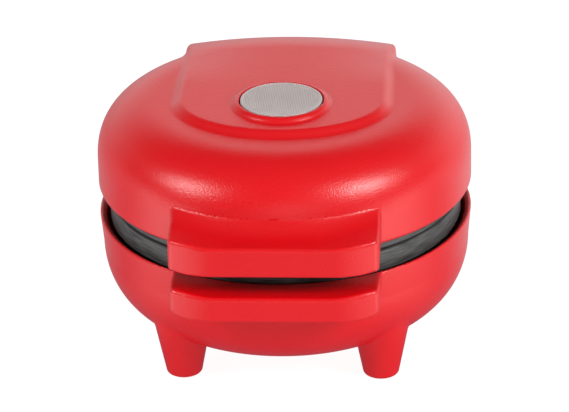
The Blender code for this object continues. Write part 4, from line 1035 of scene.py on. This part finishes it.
def lens_facets(tree, wires):
    """Little pyramids on a diagonal grid, kept inside the lens's smooth rim."""
    span = wires["Radius"] * 2.0
    count = tree.maths("FLOOR", span / wires["Pitch"]) + 1.0
    points = tree.node("GeometryNodeMeshGrid", {0: span, 1: span, 2: count, 3: count})
    where = tree.node("GeometryNodeInputPosition")
    away = tree.node("ShaderNodeVectorMath", {0: where}, {"operation": "LENGTH"}, output="Value")
    outside = tree.node("FunctionNodeCompare", {0: away, 1: wires["Radius"]},
                        {"data_type": "FLOAT", "operation": "GREATER_THAN"})
    kept = tree.node("GeometryNodeDeleteGeometry", {"Geometry": points, "Selection": outside})
    stud = tree.node("GeometryNodeMeshCone", {"Vertices": 4, "Depth": wires["Height"],
                                              "Radius Top": wires["Pitch"] * FACET_TOP_SHARE,
                                              "Radius Bottom": wires["Pitch"] * FACET_FOOT_SHARE},
                     {"fill_type": "NGON"})
    set_out = tree.node("GeometryNodeInstanceOnPoints", {"Points": kept, "Instance": stud})
    spread = tree.node("GeometryNodeRealizeInstances", {0: set_out})
    return tree.node("GeometryNodeTransform", {"Geometry": spread, "Rotation": (0, 0, math.radians(45)),
                                               "Translation": wires["Place"]})


class WAFFLE_OT_lens(bpy.types.Operator):
    """Turn the lamp's lens and cover it with small facets"""
    bl_idname = "waffle.lens"
    bl_label = "Lamp lens"
    bl_options = {"REGISTER", "UNDO"}

    def execute(self, context):
        lens = context.scene.waffle_lens
        low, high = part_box("lamp_lens")
        top, bottom, pane = high.z, low.z, high.z - LENS_PANE
        radius, inner = lens.radius, lens.radius - lens.rim
        corners = [(0, top - LENS_MIDDLE_DIP), (inner, top - LENS_DISH_DIP),
                   (radius - lens.rim * LENS_CREST_SHARE, top - LENS_CREST_DIP), (radius, top - HOLE_EDGE),
                   (radius, bottom), (radius - LENS_WALL, bottom), (radius - LENS_WALL_ROOT, pane),
                   (0, pane)]
        glass = turned("lens_glass", rounded(corners, LENS_ROUND), steps=128, centre=(0, LAMP_Y, 0))
        facets = grown("lens_facets", lens_facets, {
            "Radius": ("NodeSocketFloat", inner - FILLET),
            "Pitch": ("NodeSocketFloat", lens.facet_pitch),
            "Height": ("NodeSocketFloat", lens.facet_height),
            "Place": ("NodeSocketVector", (0, LAMP_Y, top - FACET_DIP)),
            "Material": ("NodeSocketMaterial", finish_of("lens_plastic"))})
        for piece in (glass, facets):
            dress(piece, "lens_plastic", "lid", "lamp_lens")
        return {"FINISHED"}


def screw_profile(low, high, head):
    """A long screw with its point up, its thread as rings, and a domed head with a round socket."""
    shank, core, pitch = 0.0019, 0.0015, 0.0008
    point, point_rise, taper, thread_start = 0.0007, 0.0006, 0.0022, 0.0025
    neck, head_side = low + 0.0024, 0.0012
    dome, socket, socket_floor, socket_depth = head * 0.72, 0.0016, 0.0012, 0.0014
    profile = [(0, high), (point, high - point_rise), (shank, high - taper)]
    level = high - thread_start
    while level > neck + pitch:
        profile += [(shank, level), (core, level - pitch / 2)]
        level -= pitch
    return profile + [(shank, neck + BORE_EDGE), (head, neck), (head, neck - head_side),
                      (dome, low + HOLE_EDGE), (socket, low), (socket_floor, low + head_side),
                      (0, low + socket_depth)]


def on_feet(tree, wires):
    """One copy over each foot: a grid of two by two."""
    spots = tree.node("GeometryNodeMeshGrid", {0: wires["Across"], 1: wires["Along"], 2: 2, 3: 2})
    shape = tree.node("GeometryNodeObjectInfo", {"Object": wires["Shape"]}, output="Geometry")
    return tree.node("GeometryNodeInstanceOnPoints", {"Points": spots, "Instance": shape})


class WAFFLE_OT_feet(bpy.types.Operator):
    """Set a pad and a screw in each foot"""
    bl_idname = "waffle.feet"
    bl_label = "Foot pads and screws"
    bl_options = {"REGISTER", "UNDO"}

    def execute(self, context):
        low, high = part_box("foot_pad_1")
        radius = (high.x - low.x) / 2
        dimple, dimple_mouth, dimple_floor = 0.0005, radius * 0.45, radius * 0.4
        corners = [(0, high.z), (radius, high.z), (radius, low.z), (dimple_mouth, low.z),
                   (dimple_floor, dimple), (0, dimple)]
        pad = turned("pad_shape", rounded(corners, CAST_EDGE), steps=48)
        low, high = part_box("base_screw_1")
        screw = turned("screw_shape", screw_profile(low.z, high.z, (high.x - low.x) / 2), steps=32)
        for name, shape, finish, node in (("foot_pads", pad, "black_rubber", "foot_pad"),
                                          ("foot_screws", screw, "steel", "base_screw")):
            piece = grown(name, on_feet, {
                "Across": ("NodeSocketFloat", 2 * FOOT_X),
                "Along": ("NodeSocketFloat", 2 * FOOT_Y),
                "Shape": ("NodeSocketObject", shape),
                "Material": ("NodeSocketMaterial", finish_of(finish))})
            bpy.data.objects.remove(shape)
            dress(piece, finish, "base", *[f"{node}_{number}" for number in range(1, 5)])
        return {"FINISHED"}


class WAFFLE_OT_gland(bpy.types.Operator):
    """Turn the rubber gland of the mains entry and the two hinge caps"""
    bl_idname = "waffle.gland"
    bl_label = "Cord gland and hinge caps"
    bl_options = {"REGISTER", "UNDO"}

    def execute(self, context):
        self.gland()
        for word, side in (("left", -1), ("right", 1)):
            self.cap(word, side)
        return {"FINISHED"}

    def gland(self):
        """A grommet with a flange either side of the wall."""
        low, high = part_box("cord_gland")
        flange, rear, front = (high.z - low.z) / 2, high.y, low.y
        bore, mouth, neck = 0.0035, 0.0042, 0.0047
        outer, inner, smaller = rear - 0.0020, front + 0.0017, flange - BORE_EDGE
        corners = [(bore, rear - FILLET), (mouth, rear), (flange - CAST_EDGE, rear),
                   (flange, rear - SOFT_EDGE), (flange, outer + HOLE_EDGE), (neck, outer), (neck, inner),
                   (smaller, inner - HOLE_EDGE), (smaller, front), (bore, front), (bore, rear - FILLET)]
        piece = turned("gland_ring", rounded(corners, CUT_EDGE), steps=64, centre=(0, 0, GLAND_HEIGHT),
                       axis="Y")
        dress(piece, "black_rubber", "base", "cord_gland")

    def cap(self, word, side):
        """A button in an ear's side, over one end of the hinge pin."""
        low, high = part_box(f"hinge_cap_{word}")
        radius, depth = (high.z - low.z) / 2, high.x - low.x
        corners = [(0, depth), (radius - SOFT_FILLET, depth - HOLE_EDGE), (radius, depth - CAST_EDGE),
                   (radius, 0), (0, 0)]
        piece = turned(f"hinge_button_{word}", rounded(corners, FILLET), steps=48, axis="X")
        if side < 0:
            piece.data.transform(Matrix.Rotation(math.pi, 4, "Z"))
        piece.data.transform(Matrix.Translation((low.x if side > 0 else high.x, HINGE_Y, HINGE_Z)))
        dress(piece, "red_plastic", "base", f"hinge_cap_{word}")


class WAFFLE_OT_inner_parts(bpy.types.Operator):
    """Give every solid of the frame the finish of its slot"""
    bl_idname = "waffle.inner_parts"
    bl_label = "Parts inside"
    bl_options = {"REGISTER", "UNDO"}

    def execute(self, context):
        for part in frame["record"]["subparts"]:
            node = frame["nodes"][part["node"]]
            node.data.materials.clear()
            node.data.materials.append(finish_of(part["material_slot"]))
        return {"FINISHED"}


class WAFFLE_OT_stage(bpy.types.Operator):
    """Set the floor, the lamps, the world and the camera"""
    bl_idname = "waffle.stage"
    bl_label = "Stage"
    bl_options = {"REGISTER", "UNDO"}

    def execute(self, context):
        scene = context.scene
        self.floor(scene.waffle_colours.floor)
        self.world(scene)
        self.lamps(scene)
        self.camera(scene)
        scene.view_settings.view_transform = "Standard"
        return {"FINISHED"}

    def lamps(self, scene):
        """Round studio lamps, all turned to the object."""
        for name, spot, width, power, mirrored in LAMPS:
            lamp = bpy.data.lights.new(name, "AREA")
            lamp.shape = "DISK"
            lamp.size, lamp.energy = width, power
            holder = bpy.data.objects.new(name, lamp)
            holder.location = spot
            holder.rotation_euler = (LAMP_AIM - Vector(spot)).to_track_quat("-Z", "Y").to_euler()
            holder.visible_camera = False
            holder.visible_glossy = mirrored
            scene.collection.objects.link(holder)

    def floor(self, tone):
        """A wide pale floor. The camera sees it nearly white with the object's shadow, and satin faces
        mirror it dark ahead, bright at both sides and grey behind."""
        corners = FLOOR_REACH * np.array([(-1, -1, 0), (1, -1, 0), (1, 1, 0), (-1, 1, 0)])
        floor = mesh_object("floor", corners, np.array([[0, 1, 2, 3]]))
        made = Finish("pale_floor", specular_ior_level=0.0)
        seen, mirrored = made.rays()
        pale = made.shades(tone, 0.01, made.noise(2.0, 2))
        made.set(base_color=made.blend(seen, pale, WHITE), roughness=0.9)
        across, along, _ = made.split(made.place)
        near = made.fade(along, *FLOOR_NEAR_RUN)
        side = made.fade(made.maths("ABSOLUTE", across), *FLOOR_SIDE_RUN)
        ahead = made.fade(along, *FLOOR_AHEAD_RUN)
        dark, dim, bright = (0.02, 0.02, 0.02, 1), (0.12, 0.13, 0.17, 1), (2.1, 2.1, 2.1, 1)
        shade = made.blend(side * ahead * near, made.blend(near, dark, dim), bright)
        behind = made.blend(across * 4.0 + 0.5, (0.44, 0.44, 0.47, 1), (0.74, 0.74, 0.77, 1))
        shade = made.blend(made.fade(along, *FLOOR_REAR_RUN), shade, behind)
        glow = made.node("ShaderNodeEmission", {"Color": made.blend(mirrored, WHITE, shade),
                                                "Strength": 1.15})
        lit = Wire(made, made.shader.outputs[0])
        share = made.maths("MAXIMUM", seen * 0.82 + mirrored, 0.60)
        made.feed(made.tree.nodes["Material Output"].inputs["Surface"],
                  made.node("ShaderNodeMixShader", {0: share, 1: lit, 2: glow}))
        floor.data.materials.append(made.material)

    def world(self, scene):
        """Soft light from above and both sides. Satin faces mirror a bright wall behind, low down, and the
        camera sees plain white."""
        world = bpy.data.worlds.new("studio")
        world.use_nodes = True
        scene.world = world
        tree = Tree(world.node_tree)
        world.node_tree.nodes.clear()
        x, y, z = tree.split(tree.node("ShaderNodeTexCoord", output="Generated"))
        seen, glossy = tree.rays()
        wall = tree.fade(y, *WALL_REAR_RUN) * tree.fade(z, *WALL_HEIGHT_RUN)
        mirrored = 0.03 + (1.15 + 0.35 * x) * wall
        even = 0.20 + 0.30 * tree.maths("MAXIMUM", z, 0.0) + 0.34 * tree.maths("ABSOLUTE", x) + 0.20 * x
        strength = glossy * mirrored + (1 - glossy) * even
        lit = tree.node("ShaderNodeBackground", {"Color": WHITE, "Strength": strength})
        plain = tree.node("ShaderNodeBackground", {"Color": WHITE, "Strength": 1.0})
        both_ways = tree.node("ShaderNodeMixShader", {0: seen, 1: lit, 2: plain})
        tree.node("ShaderNodeOutputWorld", {"Surface": both_ways})

    def camera(self, scene):
        """A camera at the photograph's angle."""
        level = math.cos(CAMERA_RISE)
        back = Vector((math.sin(CAMERA_TURN) * level, -math.cos(CAMERA_TURN) * level, math.sin(CAMERA_RISE)))
        right = Vector((math.cos(CAMERA_TURN), math.sin(CAMERA_TURN), 0))
        up = back.cross(right)
        tilt, upright = math.sin(CAMERA_ROLL), math.cos(CAMERA_ROLL)
        columns = (right * upright - up * tilt, right * tilt + up * upright, back,
                   CAMERA_AIM + back * CAMERA_DISTANCE)
        place = Matrix.Identity(4)
        for column, axis in enumerate(columns):
            for row in range(3):
                place[row][column] = axis[row]
        data = bpy.data.cameras.new("photo_camera")
        data.sensor_width, data.lens = SENSOR_MM, LENS_MM
        data.shift_x, data.shift_y = SHIFT_X, SHIFT_Y
        camera = bpy.data.objects.new("photo_camera", data)
        camera.matrix_world = place
        scene.collection.objects.link(camera)
        scene.camera = camera


OPERATORS = (WAFFLE_OT_inner_parts, WAFFLE_OT_lid_shell, WAFFLE_OT_base_shell, WAFFLE_OT_plates,
             WAFFLE_OT_lens, WAFFLE_OT_feet, WAFFLE_OT_gland, WAFFLE_OT_stage)
GROUPS = {"waffle_body": WAFFLE_PG_body, "waffle_panel": WAFFLE_PG_panel,
          "waffle_handles": WAFFLE_PG_handles, "waffle_plates": WAFFLE_PG_plates,
          "waffle_lens": WAFFLE_PG_lens, "waffle_colours": WAFFLE_PG_colours}


class WAFFLE_PT_maker(bpy.types.Panel):
    """Sizes, colours and the buttons that make each piece"""
    bl_idname = "WAFFLE_PT_maker"
    bl_label = "Waffle maker"
    bl_space_type = "VIEW_3D"
    bl_region_type = "UI"
    bl_category = "Waffle Maker"

    def draw(self, context):
        for key, group in GROUPS.items():
            box = self.layout.box()
            box.label(text=key.replace("waffle_", "").capitalize())
            for name in group.__annotations__:
                box.prop(getattr(context.scene, key), name)
        for operator in OPERATORS:
            self.layout.operator(operator.bl_idname)


CLASSES = (*GROUPS.values(), *OPERATORS, WAFFLE_PT_maker)


def register():
    """Register the add-on's classes and hang the sizes on the scene."""
    for item in CLASSES:
        bpy.utils.register_class(item)
    for key, group in GROUPS.items():
        setattr(bpy.types.Scene, key, PointerProperty(type=group))


def unregister():
    """Take the add-on away again."""
    for key in GROUPS:
        delattr(bpy.types.Scene, key)
    for item in reversed(CLASSES):
        bpy.utils.unregister_class(item)


def main():
    """Make every piece and the stage."""
    register()
    for operator in OPERATORS:
        family, name = operator.bl_idname.split(".")
        getattr(getattr(bpy.ops, family), name)()


if __name__ == "__main__":
    main()
